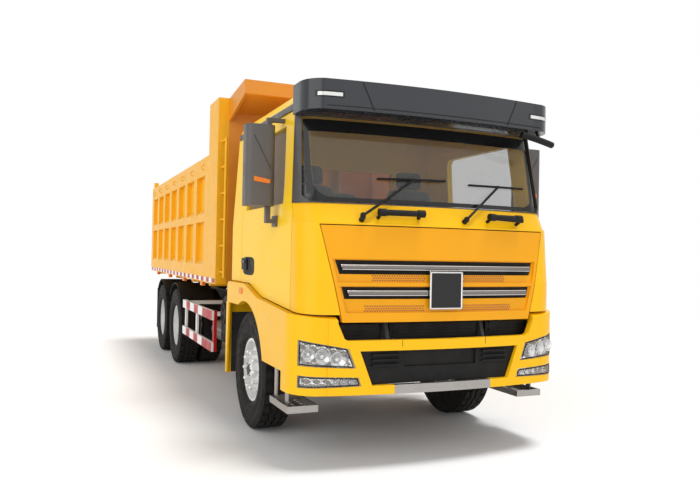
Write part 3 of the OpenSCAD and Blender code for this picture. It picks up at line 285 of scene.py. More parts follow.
def put(name, bm, material, body, smooth=True, round_edges=0.0, replaces=()):
    """Makes a piece from a bmesh, and lets it ride on a body."""
    mesh = bpy.data.meshes.new(name)
    bmesh.ops.recalc_face_normals(bm, faces=bm.faces)
    bm.to_mesh(mesh)
    bm.free()
    mesh.materials.append(material)
    piece = new_object(name, mesh)
    if smooth:
        mesh.shade_smooth()
        if not round_edges:
            mesh.set_sharp_from_angle(angle=SHARP_ANGLE)
    if round_edges:
        round_off(piece, round_edges, 3)
    if replaces:
        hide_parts(*replaces)
    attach(piece, body)
    return piece


def steps(low, high, count):
    """Evenly spaced values from low to high."""
    return [low + (high - low) * i / count for i in range(count + 1)]


def circle(radius, count):
    """Evenly spaced points round a circle, as two coordinates each."""
    return [(radius * math.cos(a), radius * math.sin(a)) for a in steps(0.0, 2 * math.pi, count)[:-1]]


def add_box(bm, low, high):
    size = [h - l for l, h in zip(low, high)]
    middle = [(h + l) / 2 for l, h in zip(low, high)]
    bmesh.ops.create_cube(bm, size=1.0, matrix=Matrix.Translation(middle) @ Matrix.Diagonal((*size, 1.0)))


def side_box(bm, sign, x, y, z):
    """A box given for the left side as ranges along, across and up, or its mirror image on the right."""
    across = sorted((sign * y[0], sign * y[1]))
    add_box(bm, (x[0], across[0], z[0]), (x[1], across[1], z[1]))


def add_prism(bm, outline, way):
    """Closes an outline of points into a solid that reaches along the vector way."""
    near = [bm.verts.new(p) for p in outline]
    far = [bm.verts.new(Vector(p) + Vector(way)) for p in outline]
    bm.faces.new(near[::-1])
    bm.faces.new(far)
    count = len(outline)
    for i in range(count):
        bm.faces.new((near[i], near[(i + 1) % count], far[(i + 1) % count], far[i]))


def add_rod(bm, start, end, radius, end_radius=None, sides=14):
    """A round rod between two points, drawn in or out to another radius at its end where asked."""
    start, end = Vector(start), Vector(end)
    turn = (end - start).to_track_quat("Z", "Y").to_matrix().to_4x4()
    place = Matrix.Translation((start + end) / 2) @ turn
    bmesh.ops.create_cone(bm, cap_ends=True, segments=sides, radius1=radius,
                          radius2=radius if end_radius is None else end_radius,
                          depth=(end - start).length, matrix=place)


def add_sweep(bm, points, radius, sides=10, closed=False):
    """A round bar along a row of points."""
    points = [Vector(p) for p in points]
    last = len(points) - 1
    rings = []
    for i, p in enumerate(points):
        if closed:
            ahead = (points[(i + 1) % len(points)] - points[i - 1]).normalized()
        else:
            ahead = (points[min(i + 1, last)] - points[max(i - 1, 0)]).normalized()
        across = ahead.cross(Vector((0, 0, 1)))
        if across.length < 0.05:
            across = ahead.cross(Vector((1, 0, 0)))
        across.normalize()
        up = across.cross(ahead)
        rings.append([bm.verts.new(p + c * across + s * up) for c, s in circle(radius, sides)])
    pairs = list(zip(rings, rings[1:]))
    if closed:
        pairs.append((rings[-1], rings[0]))
    else:
        bm.faces.new(rings[0][::-1])
        bm.faces.new(rings[-1])
    for one, two in pairs:
        for k in range(sides):
            bm.faces.new((one[k], one[(k + 1) % sides], two[(k + 1) % sides], two[k]))


def arc(points, count=8):
    """Rounds a row of corner points into a smooth row by quadratic curves through their middles."""
    points = [Vector(p) for p in points]
    smooth = [points[0]]
    for i in range(1, len(points) - 1):
        a = (points[i - 1] + points[i]) / 2 if i > 1 else points[0]
        b = (points[i] + points[i + 1]) / 2 if i < len(points) - 2 else points[-1]
        for t in steps(0.0, 1.0, count)[1:]:
            smooth.append((1 - t) ** 2 * a + 2 * t * (1 - t) * points[i] + t ** 2 * b)
    return smooth


def add_sheet(bm, place, across, along):
    """A grid of faces whose points are place(a, b) for each a in across and b in along."""
    rows = [[bm.verts.new(place(a, b)) for b in along] for a in across]
    for one, two in zip(rows, rows[1:]):
        for k in range(len(one) - 1):
            bm.faces.new((one[k], one[k + 1], two[k + 1], two[k]))


# Tyres: smooth side walls, ribs in the middle and lugs on the shoulders

TYRE_LOW, TYRE_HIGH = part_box("tyre_front_left")
TYRE_R = (TYRE_HIGH[2] - TYRE_LOW[2]) / 2
TYRE_HALF = (TYRE_HIGH[1] - TYRE_LOW[1]) / 2
TWIN_HALF_PITCH = (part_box("tyres_rear_left")[1][1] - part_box("tyres_rear_left")[0][1]) / 2 - TYRE_HALF
RIM_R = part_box("rim_front_left")[1][2] - WHEEL_Z
TREAD_ROWS = 120
TREAD_DEPTH = 0.016
# Edges of the tread's columns as parts of its half width, and the rows of each four that carry rubber
TREAD_EDGES = (-1.0, -0.56, -0.44, -0.07, 0.07, 0.44, 0.56, 1.0)
TREAD_HALF = TYRE_HALF - 0.026
LUG_ROWS = {0: (0, 1, 2), 2: (0, 1, 2, 3), 4: (0, 1, 2, 3), 6: (2, 3, 0)}
ZIGZAG = 0.007
# The side wall as depth below the tread, then as height over the rim, each with its inset
WALL_TOP = ((0.006, 0.020), (0.018, 0.011), (0.045, 0.004), (0.070, 0.000), (0.078, 0.004))
WALL_LOW = ((0.118, 0.003), (0.110, 0.000), (0.070, 0.004), (0.030, 0.012), (0.022, 0.020), (0.000, 0.035))


def add_tyre(bm, centre):
    """Adds one tyre: rings of points along its section, turned about the axle."""
    wall = [(TYRE_R - depth, TYRE_HALF - inset) for depth, inset in WALL_TOP]
    wall += [(RIM_R + height, TYRE_HALF - inset) for height, inset in WALL_LOW]
    section = [(r, -y) for r, y in reversed(wall)]
    first_column = len(section)
    section += [(TYRE_R - TREAD_DEPTH, e * TREAD_HALF) for e in TREAD_EDGES]
    section += wall + [(RIM_R, 0.0)]
    rows = []
    for row, (c, s) in enumerate(circle(1.0, TREAD_ROWS)):
        zigzag = ZIGZAG if row % 4 < 2 else -ZIGZAG
        ring = []
        for i, (r, y) in enumerate(section):
            if first_column + 1 <= i <= first_column + 6:
                y += zigzag
            ring.append(bm.verts.new(Vector(centre) + Vector((r * c, y, r * s))))
        rows.append(ring)
    lugs = []
    count = len(section)
    for row in range(TREAD_ROWS):
        here, after = rows[row], rows[(row + 1) % TREAD_ROWS]
        for i in range(count):
            face = bm.faces.new((here[i], here[(i + 1) % count], after[(i + 1) % count], after[i]))
            if row % 4 in LUG_ROWS.get(i - first_column, ()):
                lugs.append(face)
    grown = bmesh.ops.extrude_face_region(bm, geom=lugs)["geom"]
    for v in (g for g in grown if isinstance(g, bmesh.types.BMVert)):
        out = Vector((v.co.x - centre[0], 0, v.co.z - centre[2]))
        v.co += out.normalized() * TREAD_DEPTH
    bmesh.ops.delete(bm, geom=[f for f in lugs if f.is_valid], context="FACES_ONLY")


STUD_CIRCLE = 0.168
STUD_COUNT = 10
STUD_TIP = 0.010
# Studs as start and end beyond the middle of the wheel or twin, and radius
FRONT_STUDS = (0.074, 0.150, 0.018)
REAR_STUDS = (0.044, 0.092, 0.017)
# Reach of the hubs' end plates beyond the same middle, and their circle of bolts
FRONT_HUB, REAR_HUB = 0.141, 0.131
HUB_CIRCLE = 0.058


def add_studs(bm, centre, sign, start, end, radius):
    """Long capped nuts on the stud circle, each with a flange at its foot."""
    for c, s in circle(STUD_CIRCLE, STUD_COUNT):
        x, z = centre[0] + c, centre[2] + s
        y0, y1 = centre[1] + sign * start, centre[1] + sign * end
        tip = sign * STUD_TIP
        add_rod(bm, (x, y0, z), (x, y0 + tip, z), radius * 1.35)
        add_rod(bm, (x, y0, z), (x, y1 - tip, z), radius)
        add_rod(bm, (x, y1 - tip, z), (x, y1, z), radius, radius * 0.55)


def add_hub_plate(bm, centre, sign, reach):
    """A round plate on the hub's end, with bolts round it."""
    x, y, z = centre
    add_rod(bm, (x, y + sign * reach, z), (x, y + sign * (reach + 0.006), z), 0.046, 0.040, 24)
    for c, s in circle(HUB_CIRCLE, 6):
        bolt = Vector((x + c, y + sign * reach, z + s))
        add_rod(bm, bolt - Vector((0, sign * 0.010, 0)), bolt + Vector((0, sign * 0.004, 0)), 0.008, sides=6)


def add_wheels():
    for side, sign in SIDES:
        twins = [sign * TWIN_Y - TWIN_HALF_PITCH, sign * TWIN_Y + TWIN_HALF_PITCH]
        front, twin = (sign * WHEEL_Y, FRONT_STUDS, FRONT_HUB), (sign * TWIN_Y, REAR_STUDS, REAR_HUB)
        for name, node, body, x, tyres, (y, studs, hub) in (
                ("front", "tyre_front_", "front_" + side + "_wheel", FRONT_X, [sign * WHEEL_Y], front),
                ("mid", "tyres_mid_", "mid_" + side + "_wheels", MID_X, twins, twin),
                ("rear", "tyres_rear_", "rear_" + side + "_wheels", REAR_X, twins, twin)):
            tread, nuts, plate = bmesh.new(), bmesh.new(), bmesh.new()
            for tyre_y in tyres:
                add_tyre(tread, (x, tyre_y, WHEEL_Z))
            add_studs(nuts, (x, y, WHEEL_Z), sign, *studs)
            add_hub_plate(plate, (x, y, WHEEL_Z), sign, hub)
            put("tread_" + name + "_" + side, tread, TYRE, body, replaces=[node + side])
            put("studs_" + name + "_" + side, nuts, WHEEL, body)
            put("hub_plate_" + name + "_" + side, plate, CHASSIS, body)


add_wheels()


# Front: mesh in the slots, dimples in the strips, the square plate

HEX_PITCH = 0.026
# Slots as half width and height at the top, then at the bottom
SLOTS = ((0.905, 1.596, 0.880, 1.492), (0.860, 1.391, 0.842, 1.302))
# Dimpled strips as half width, lowest and highest
STRIPS = ((0.64, 1.432, 1.486), (0.70, 1.198, 1.268))
BADGE_Z = 1.368
BADGE_HALF = 0.150
DIMPLE_PITCH = HEX_PITCH * 0.8


def hexagon(x, y, z, radius):
    """Corners of an upright hexagon that faces forward."""
    return [(x, y + s, z + c) for c, s in circle(radius, 6)]


def hex_places(half_at, low, high, pitch):
    """Middles of a honeycomb between two heights; half_at gives the half width at a height."""
    row = 0
    z = low + pitch / 2
    while z < high - pitch / 3:
        half = half_at(z) - pitch
        shift = pitch / 2 if row % 2 else 0.0
        for k in range(int(2 * half / pitch)):
            yield -half + shift + k * pitch, z
        z += pitch * math.sqrt(3) / 2
        row += 1


def add_mesh():
    """A honeycomb of rings before the panels in the slots."""
    bm = bmesh.new()
    for top_half, top, low_half, low in SLOTS:
        def half_at(z, t=top_half, b=low_half, z1=top, z0=low):
            return b + (t - b) * (z - z0) / (z1 - z0)

        for y, z in hex_places(half_at, low, top, HEX_PITCH):
            x = front_of("front_grille", y, z)
            outer, inner, sunk = ([bm.verts.new(p) for p in hexagon(x + off, y, z, HEX_PITCH * part)]
                                  for off, part in ((0.005, 0.57), (0.005, 0.42), (0.0005, 0.40)))
            for k in range(6):
                m = (k + 1) % 6
                bm.faces.new((outer[k], outer[m], inner[m], inner[k]))
                bm.faces.new((inner[k], inner[m], sunk[m], sunk[k]))
    put("grille_mesh", bm, BLACK, "front_flap", smooth=False)


# The dimples are thin hexagons whose brown is painted shade
def add_dimples():
    bm = bmesh.new()
    for half, low, high in STRIPS:
        for y, z in hex_places(lambda _, h=half: h, low, high, DIMPLE_PITCH):
            if abs(y) > BADGE_HALF + 0.02 or z < BADGE_Z - BADGE_HALF - 0.02:
                x = front_of("front_panel", y, z)
                add_prism(bm, hexagon(x - 0.002, y, z, HEX_PITCH * 0.31), (0.003, 0, 0))
    put("grille_dimples", bm, DIMPLE_PAINTED_SHADE, "front_flap", smooth=False)


def add_badge():
    """A dark face in a bright frame on the square plate."""
    face_x = front_of("grille_bars", 0.0, BADGE_Z)
    face, rim = bmesh.new(), bmesh.new()
    half = BADGE_HALF - 0.014
    add_box(face, (face_x - 0.004, -half, BADGE_Z - half), (face_x + 0.003, half, BADGE_Z + half))
    middle = BADGE_HALF - 0.007
    corners = [(face_x + 0.001, y * middle, BADGE_Z + z * middle)
               for y, z in ((-1, -1), (1, -1), (1, 1), (-1, 1))]
    for one, two in zip(corners, corners[1:] + corners[:1]):
        add_rod(rim, one, two, 0.008)
    put("badge_face", face, DARK, "front_flap", round_edges=0.002)
    put("badge_frame", rim, CHROME, "front_flap")


# Bright bars as the ends of each run across, for the upper slot and the lower one
BAR_RUNS = (((-0.868, 0.868),), ((-0.820, -0.160), (0.160, 0.820)))
BAR_R = 0.0215
# Painted highlights, as bright lines above and below the middle of a bar: place forward of it, height from it, and
# radius
BAR_HIGHLIGHT = (0.012, 0.0165, 0.0045)


def add_bar_caps():
    """Half-round fronts on the bright bars, along the curve of the flap; the fronts are a dark chrome that paints
    the bars' reflection in, with bright painted highlight lines above and below.
    """
    bars, highlights = bmesh.new(), bmesh.new()
    forward, rise, highlight_r = BAR_HIGHLIGHT
    for slot, runs in zip(SLOTS, BAR_RUNS):
        z = (slot[1] + slot[3]) / 2
        for y0, y1 in runs:
            points = [front_point("grille_bars", y, z, -0.009) for y in steps(y0, y1, 16)]
            add_sweep(bars, points, BAR_R, 16)
            for up in (-rise, rise):
                add_sweep(highlights, [p + Vector((forward, 0, up)) for p in points], highlight_r, 8)
    put("bar_fronts", bars, BAR_CHROME_PAINTED_REFLECTION, "front_flap")
    put("bar_edges", highlights, CHROME, "front_flap")


add_mesh()
add_dimples()
add_badge()
add_bar_caps()


# Dark panels in the hollow under the flap, by the tilt pins, as ranges across
HOLLOW = ((-0.93, -0.50), (-0.41, 0.41), (0.50, 0.93))
HOLLOW_X = FRONT_X + 1.36
HOLLOW_Z = (0.86, 1.10)
LOUVRE_Z = (0.96, 1.02, 1.08)
# Panels farther back, behind the gaps for the cab's legs, as ranges along, across and up
LEG_PANEL = ((FRONT_X + 1.08, FRONT_X + 1.10), (0.34, 0.82), (0.86, 1.14))
# Seams in the bumper's band over the intake, as distance from the middle line and range up
SEAM_Y = 0.381
SEAM_Z = (0.935, 0.985)


def add_hollow():
    bm = bmesh.new()
    for y0, y1 in HOLLOW:
        add_box(bm, (HOLLOW_X, y0, HOLLOW_Z[0]), (HOLLOW_X + 0.015, y1, HOLLOW_Z[1]))
        for z in LOUVRE_Z:
            add_box(bm, (HOLLOW_X + 0.014, y0 + 0.03, z), (HOLLOW_X + 0.026, y1 - 0.03, z + 0.016))
    for sign in (-1, 1):
        side_box(bm, sign, *LEG_PANEL)
    put("hollow_panels", bm, BLACK, "chassis")


def add_seams():
    bm = bmesh.new()
    for y in (-SEAM_Y, SEAM_Y):
        add_sweep(bm, [front_point("bumper", y, z, -0.001) for z in steps(*SEAM_Z, 4)], 0.0028, 6)
    put("bumper_seams", bm, BLACK, "chassis")


add_hollow()
add_seams()


# Lamps: reflectors and bulbs behind the clear lenses, with dark edges

def add_bowl(bm, middle, axis, radius, depth, rings=5, sides=20):
    """A round reflector bowl that opens along axis, with its deepest point at the back."""
    place = Matrix.Translation(middle) @ Vector(axis).to_track_quat("Z", "Y").to_matrix().to_4x4()
    rows = []
    for i in range(1, rings + 1):
        r = radius * i / rings
        z = -depth * (1 - (i / rings) ** 2)
        rows.append([bm.verts.new(place @ Vector((c, s, z))) for c, s in circle(r, sides)])
    tip = bm.verts.new(place @ Vector((0, 0, -depth)))
    for k in range(sides):
        bm.faces.new((tip, rows[0][k], rows[0][(k + 1) % sides]))
    for one, two in zip(rows, rows[1:]):
        for k in range(sides):
            bm.faces.new((one[k], two[k], two[(k + 1) % sides], one[(k + 1) % sides]))


# Lamp outlines as distance from the middle line and height, and reflectors with their radius and depth
HEAD_EDGE = ((1.168, 0.978), (0.830, 0.917), (0.778, 0.787), (1.168, 0.806))
FOG_EDGE = ((1.168, 0.712), (0.746, 0.697), (0.730, 0.650), (1.168, 0.639))
HEAD_BOWLS = ((0.895, 0.842, 0.060, 0.030), (1.010, 0.866, 0.058, 0.030), (1.110, 0.882, 0.050, 0.026))
FOG_BOWLS = ((0.780, 0.668, 0.024, 0.018), (0.845, 0.672, 0.024, 0.018), (0.910, 0.675, 0.024, 0.018))
LAMP_INSET = 0.010
# Outlines with the rows and columns of facets behind them, and the facets' place, size and depth
FACET_FIELDS = ((HEAD_EDGE, 4, 9), (FOG_EDGE, 2, 12))
FACET_INSET, FACET_R, FACET_DEPTH = 0.036, 0.022, 0.006


def edge_points(node, edge, sign, count=8):
    """Points on a node's front along an outline."""
    points = []
    for (y0, z0), (y1, z1) in zip(edge, edge[1:] + edge[:1]):
        for t in steps(0.0, 1.0, count)[:-1]:
            y, z = sign * (y0 + (y1 - y0) * t), z0 + (z1 - z0) * t
            points.append(front_point(node, y, z))
    return points


def inside(edge, u, v):
    """Place in a lamp's outline, by u from its inner end to the outer and by v from its bottom to the top."""
    outer_top, inner_top, inner_low, outer_low = (Vector(p) for p in edge)
    return inner_low.lerp(outer_low, u).lerp(inner_top.lerp(outer_top, u), v)


def add_facets(bm, edge, rows, columns, sign):
    """Small bright faces behind the lens, turned this way and that."""
    for i in range(rows):
        for j in range(columns):
            y, z = inside(edge, (j + 0.5) / columns, (i + 0.5) / rows)
            lean = 0.5 if (i + j) % 2 else -0.4
            add_bowl(bm, front_point("lamps", sign * y, z, -FACET_INSET), (1, sign * 0.5 + lean * 0.4, lean),
                     FACET_R, FACET_DEPTH, 2, 4)


def add_lamps():
    for side, sign in SIDES:
        bowls, bulbs, edges, facets = bmesh.new(), bmesh.new(), bmesh.new(), bmesh.new()
        for y, z, radius, depth in HEAD_BOWLS + FOG_BOWLS:
            middle = front_point("lamps", sign * y, z, -LAMP_INSET)
            add_bowl(bowls, middle, (1, sign * 0.3, 0), radius, depth)
            add_sweep(bowls, [middle + Vector((0, c, s)) for c, s in circle(radius, 20)], 0.003, 6, True)
            bmesh.ops.create_uvsphere(bulbs, u_segments=14, v_segments=10, radius=radius * 0.30,
                                      matrix=Matrix.Translation(middle - Vector((depth * 0.5, 0, 0))))
        for edge, rows, columns in FACET_FIELDS:
            add_sweep(edges, edge_points("lamps", edge, sign), 0.005, 6, True)
            add_facets(facets, edge, rows, columns, sign)
        put("lamp_bowls_" + side, bowls, CHROME, "chassis")
        put("lamp_bulbs_" + side, bulbs, BULB, "chassis")
        put("lamp_edges_" + side, edges, BLACK, "chassis")
        put("lamp_facets_" + side, facets, CHROME, "chassis", smooth=False)


add_lamps()


# Windscreen: dark border, wipers; visor with its lamps and seams

SCREEN_LOW, SCREEN_TOP = 2.050, 2.715
BORDER_TOP_Z = 2.615
GLASS_OFF = 0.003
# The border's strips: half widths of the top and bottom one, height of the bottom one, and the side ones
BORDER_TOP_Y, BORDER_LOW_Y = 1.085, 1.075
BORDER_LOW_H = 0.035
BORDER_SIDE_Y, BORDER_SIDE_Z = (1.050, 1.090), (SCREEN_LOW + 0.06, BORDER_TOP_Z)
# The border's rounded inner corner as its radius and the place that its two edges would meet at,
# then the corner of the pane
CORNER_R = 0.15
CORNER_Y, CORNER_Z = 1.052, SCREEN_LOW + 0.033
PANE_Y, PANE_Z = 1.068, SCREEN_LOW + 0.015
# Each wiper as its pivot's place across, and the two ends of the blade across and up
WIPERS = ((-0.700, (-0.52, 2.250), (0.10, 2.265)), (0.215, (0.33, 2.245), (0.93, 2.250)))
PIVOT_Z = 1.945
ELBOW_Z = 2.075
ARM_R, BLADE_R, LIP_R = 0.011, 0.009, 0.005
# Heights over the glass of a wiper's blade, of the arm's end and of its elbow
BLADE_OFF, HOLD_OFF, ELBOW_OFF = 0.020, 0.045, 0.065
# Grab bars as their middle and half length across, with their height
GRAB_BARS = ((-0.385, 0.175), (0.605, 0.155))
GRAB_Z = 1.971
GRIP_R, KNOB_R, KNOB_L = 0.024, 0.030, 0.055


def on_screen(y, z, off=GLASS_OFF):
    return front_point("cab_glass", y, z, off)


def border_corner(sign, turn, reach):
    """From the border's rounded inner corner, by turn, towards the pane's own corner, by reach."""
    y = CORNER_Y - CORNER_R + CORNER_R * math.cos(turn)
    z = CORNER_Z + CORNER_R - CORNER_R * math.sin(turn)
    return on_screen(sign * (y + (PANE_Y - y) * reach), z + (PANE_Z - z) * reach, GLASS_OFF + 0.0006)


def add_border():
    bm = bmesh.new()
    add_sheet(bm, on_screen, steps(-BORDER_TOP_Y, BORDER_TOP_Y, 40), steps(BORDER_TOP_Z, SCREEN_TOP, 4))
    add_sheet(bm, on_screen, steps(-BORDER_LOW_Y, BORDER_LOW_Y, 40),
              steps(SCREEN_LOW, SCREEN_LOW + BORDER_LOW_H, 1))
    for sign in (-1, 1):
        add_sheet(bm, on_screen, steps(*(sign * y for y in BORDER_SIDE_Y), 2), steps(*BORDER_SIDE_Z, 8))
        add_sheet(bm, lambda turn, reach, s=sign: border_corner(s, turn, reach),
                  steps(0.0, math.pi / 2, 8), steps(0.0, 0.96, 2))
    put("screen_border", bm, DARK, "cab")


def add_grips(bm):
    """Thick grips with a knob at each end, over the grab bars."""
    for middle_y, half in GRAB_BARS:
        low, high = (front_point("wipers", middle_y + side * half * 0.8, GRAB_Z, -0.016) for side in (-1, 1))
        along = (high - low).normalized()
        low, high = low - along * half * 0.3, high + along * half * 0.3
        add_rod(bm, low, high, GRIP_R)
        for end, way in ((low, along), (high, -along)):
            add_rod(bm, end - way * 0.004, end + way * KNOB_L, KNOB_R)


def add_wipers():
    arms, blades = bmesh.new(), bmesh.new()
    for pivot_y, (y0, z0), (y1, z1) in WIPERS:
        foot = front_point("wipers", pivot_y, PIVOT_Z)
        middle_y, middle_z = (y0 + y1) / 2, (z0 + z1) / 2
        hold = on_screen(middle_y, middle_z, HOLD_OFF)
        elbow = on_screen(pivot_y + (middle_y - pivot_y) * 0.45, ELBOW_Z, ELBOW_OFF)
        add_sweep(arms, arc([foot + Vector((0.004, 0, 0)), elbow, hold]), ARM_R)
        add_rod(arms, foot - Vector((0.004, 0, 0)), foot + Vector((0.012, 0, 0)), 0.024, 0.018)
        row = [on_screen(y, z, BLADE_OFF) for y, z in zip(steps(y0, y1, 12), steps(z0, z1, 12))]
        add_sweep(blades, row, BLADE_R, 8)
        add_sweep(blades, [p - Vector((0.012, 0, 0.004)) for p in row], LIP_R, 6)
        add_rod(blades, row[6], hold, 0.010)
    add_grips(arms)
    put("wiper_arms", arms, BLACK, "cab")
    put("wiper_blades", blades, BLACK, "cab")


# Visor lamps and their rims as ranges across and up, and height over the visor's face
VISOR_LAMP = ((0.88, 1.07), (2.846, 2.874), 0.004)
VISOR_RIM = ((0.865, 1.085), (2.836, 2.886), 0.002)
# Seams: height of the long one, both ends of a slanted one across and up, and radius
VISOR_LINE_Z = 2.775
SLANT_Y, SLANT_Z = (0.72, 0.62), (2.970, 2.755)
VISOR_LINE_R = 0.004


def add_visor_field(bm, sign, across, up, off):
    add_sheet(bm, lambda y, z: front_point("visor", sign * y, z, off), steps(*across, 8), steps(*up, 2))


def add_visor():
    lamps, rims, seams = bmesh.new(), bmesh.new(), bmesh.new()
    rows = [[(y, VISOR_LINE_Z) for y in steps(-1.0, 1.0, 24)]]
    for sign in (-1, 1):
        add_visor_field(lamps, sign, *VISOR_LAMP)
        add_visor_field(rims, sign, *VISOR_RIM)
        rows.append([(sign * y, z) for y, z in zip(steps(*SLANT_Y, 8), steps(*SLANT_Z, 8))])
    for row in rows:
        add_sweep(seams, [front_point("visor", y, z, 0.001) for y, z in row], VISOR_LINE_R, 6)
    put("visor_lamps", lamps, BULB, "cab")
    put("visor_lamp_rims", rims, DARK, "cab")
    put("visor_seams", seams, BLACK, "cab")


add_border()
add_wipers()
add_visor()


# Sides of the cab: mirrors, handles, markers

# On a mirror: the glass fields as ranges up and across, the strip and the crease as points across and up,
# with places across given inward from the outer edge
MIRROR_FIELDS = ((2.265, 2.665), (2.050, 2.240))
MIRROR_ACROSS = (0.222, 0.024)
MIRROR_STRIP = ((0.060, 2.262), (0.200, 2.238), (0.192, 2.206), (0.060, 2.222))
MIRROR_CREASE = ((0.055, 2.60), (0.20, 2.33))
MIRROR_MIDDLE = (0.12, 2.30)


def add_mirrors():
    for side, sign in SIDES:
        node = "mirror_" + side
        low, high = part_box(node)
        outer = max(abs(low.y), abs(high.y))
        glass, strip, crease = bmesh.new(), bmesh.new(), bmesh.new()
        middle_y, middle_z = sign * (outer - MIRROR_MIDDLE[0]), MIRROR_MIDDLE[1]
        back_x = surface(node, (low.x - 1.0, middle_y, middle_z), (1, 0, 0)).x
        front_x = surface(node, (high.x + 1.0, middle_y, middle_z), (-1, 0, 0)).x
        for up in MIRROR_FIELDS:
            side_box(glass, sign, (back_x - 0.003, back_x + 0.004), [outer - y for y in MIRROR_ACROSS], up)
        add_prism(strip, [(front_x - 0.003, sign * (outer - y), z) for y, z in MIRROR_STRIP], (0.009, 0, 0))
        add_sweep(crease, [(front_x + 0.001, sign * (outer - y), z) for y, z in MIRROR_CREASE], 0.004, 6)
        put("mirror_glass_" + side, glass, LOOKING_GLASS, side + "_door", round_edges=0.003)
        put("mirror_strip_" + side, strip, ORANGE, side + "_door", round_edges=0.002)
        put("mirror_crease_" + side, crease, GREY, side + "_door")


# Small mirror over the windscreen's left corner, as a bent row of points, and both ends of its arm
LOOK_DOWN = ((FRONT_X + 1.43, 0.80, 2.700), (FRONT_X + 1.44, 0.98, 2.668), (FRONT_X + 1.40, 1.150, 2.640))
LOOK_DOWN_ARM = ((FRONT_X + 1.42, 1.00, 2.668), (FRONT_X + 1.36, 1.00, 2.770))
LOOK_DOWN_R, LOOK_DOWN_ARM_R = 0.028, 0.012


def add_look_down_mirror():
    bm = bmesh.new()
    add_sweep(bm, arc(LOOK_DOWN, 10), LOOK_DOWN_R, 12)
    add_rod(bm, *LOOK_DOWN_ARM, LOOK_DOWN_ARM_R)
    put("look_down_mirror", bm, BLACK, "cab")


# Door handle: its grip and housing as ranges along and up, how far the cup wraps them, and the dish round it
HANDLE_X = (FRONT_X - 0.235, FRONT_X - 0.120)
HANDLE_Z = (1.480, 1.580)
GRIP_Z = (1.538, 1.566)
WRAP_X, WRAP_Z = 0.030, 0.006
DISH_X = (HANDLE_X[0] - WRAP_X, FRONT_X + 0.130)
DISH_Z = 1.512
DISH_HALF = 0.086
# Spots along and up where the door and the fender show their plain skin
DOOR_SPOT = (FRONT_X + 0.10, 1.62)
FENDER_SPOT = (FRONT_X - 0.135, 1.270)
# Marker on the fender, and the dark liner before the mudguard's post, with the place its ray starts from
MARKER_X, MARKER_Z = (FRONT_X - 0.190, FRONT_X - 0.080), (1.245, 1.300)
LINER_Z = (0.405, 1.020)
LINER_INNER_Y = 0.884
POST_FROM = (FRONT_X - 0.30, 1.0, 0.60)


def squared(value):
    """Draws a cosine or sine out, so that a circle turns into a rounded box."""
    return math.copysign(abs(value) ** 0.5, value)


def add_handles():
    for side, sign in SIDES:
        door, body = "door_" + side, side + "_door"
        cup, grip, dish = bmesh.new(), bmesh.new(), bmesh.new()
        skin = skin_of(door, sum(HANDLE_X) / 2, sum(HANDLE_Z) / 2, sign)
        door_y = skin_of(door, *DOOR_SPOT, sign)
        middle = Vector((sum(DISH_X) / 2, sign * (door_y - 0.003), DISH_Z))
        half = (DISH_X[1] - DISH_X[0]) / 2
        add_prism(dish, [middle + Vector((squared(c) * half, 0, squared(s) * DISH_HALF))
                         for c, s in circle(1.0, 32)], (0, sign * 0.006, 0))
        side_box(cup, sign, (HANDLE_X[0] - WRAP_X, HANDLE_X[1] + WRAP_X), (door_y + 0.001, skin + 0.004),
                 (HANDLE_Z[0] - WRAP_Z, HANDLE_Z[1] + WRAP_Z))
        side_box(grip, sign, HANDLE_X, (skin + 0.002, skin + 0.018), GRIP_Z)
        put("handle_dish_" + side, dish, BLACK, body, round_edges=0.002)
        put("handle_cup_" + side, cup, BLACK, body, round_edges=0.004)
        put("handle_grip_" + side, grip, GREY, body, round_edges=0.006)


def add_fender_fittings():
    for side, sign in SIDES:
        lens, liner = bmesh.new(), bmesh.new()
        fender_y = skin_of("fenders", *FENDER_SPOT, sign)
        side_box(lens, sign, MARKER_X, (fender_y - 0.004, fender_y + 0.010), MARKER_Z)
        x, y, z = POST_FROM
        post_x = surface("fenders", (x, sign * y, z), (-1, 0, 0)).x
        side_box(liner, sign, (post_x - 0.002, post_x + 0.004), (LINER_INNER_Y, fender_y - 0.055), LINER_Z)
        put("fender_marker_" + side, lens, ORANGE, "chassis", round_edges=0.006)
        put("wheel_liner_" + side, liner, RUBBER, "chassis")


add_mirrors()
add_look_down_mirror()
add_handles()
add_fender_fittings()


# Bed: tape along the lower edge, markers, hooks, and mud flaps

BED_LOW, BED_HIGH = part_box("bed_sides")
TAPE_L = 0.150
TAPE_Z = (BED_LOW.z + 0.012, BED_LOW.z + 0.062)
TAPE_T = 0.0025
# Markers as their places behind the front axle, and hooks as their height and half size
BED_MARKERS = (2.06, 3.33, 4.60, 5.90)
HOOK_Z = 2.660
HOOK_HALF = 0.03


def add_tape(side, sign, y):
    red, white = bmesh.new(), bmesh.new()
    x = BED_LOW.x + 0.02
    here, after = white, red
    while x + TAPE_L < BED_HIGH.x:
        side_box(here, sign, (x, x + TAPE_L), (y - 0.0005, y + TAPE_T), TAPE_Z)
        x += TAPE_L
        here, after = after, here
    put("tape_red_" + side, red, RED, "bed", smooth=False)
    put("tape_white_" + side, white, WHITE, "bed", smooth=False)


def add_bed_markers(side, sign, y):
    bm = bmesh.new()
    for x in (FRONT_X - back for back in BED_MARKERS):
        side_box(bm, sign, (x - 0.06, x + 0.06), (y - 0.050, y - 0.004),
                 (BED_LOW.z - 0.052, BED_LOW.z + 0.002))
    put("bed_markers_" + side, bm, ORANGE, "bed", round_edges=0.008)


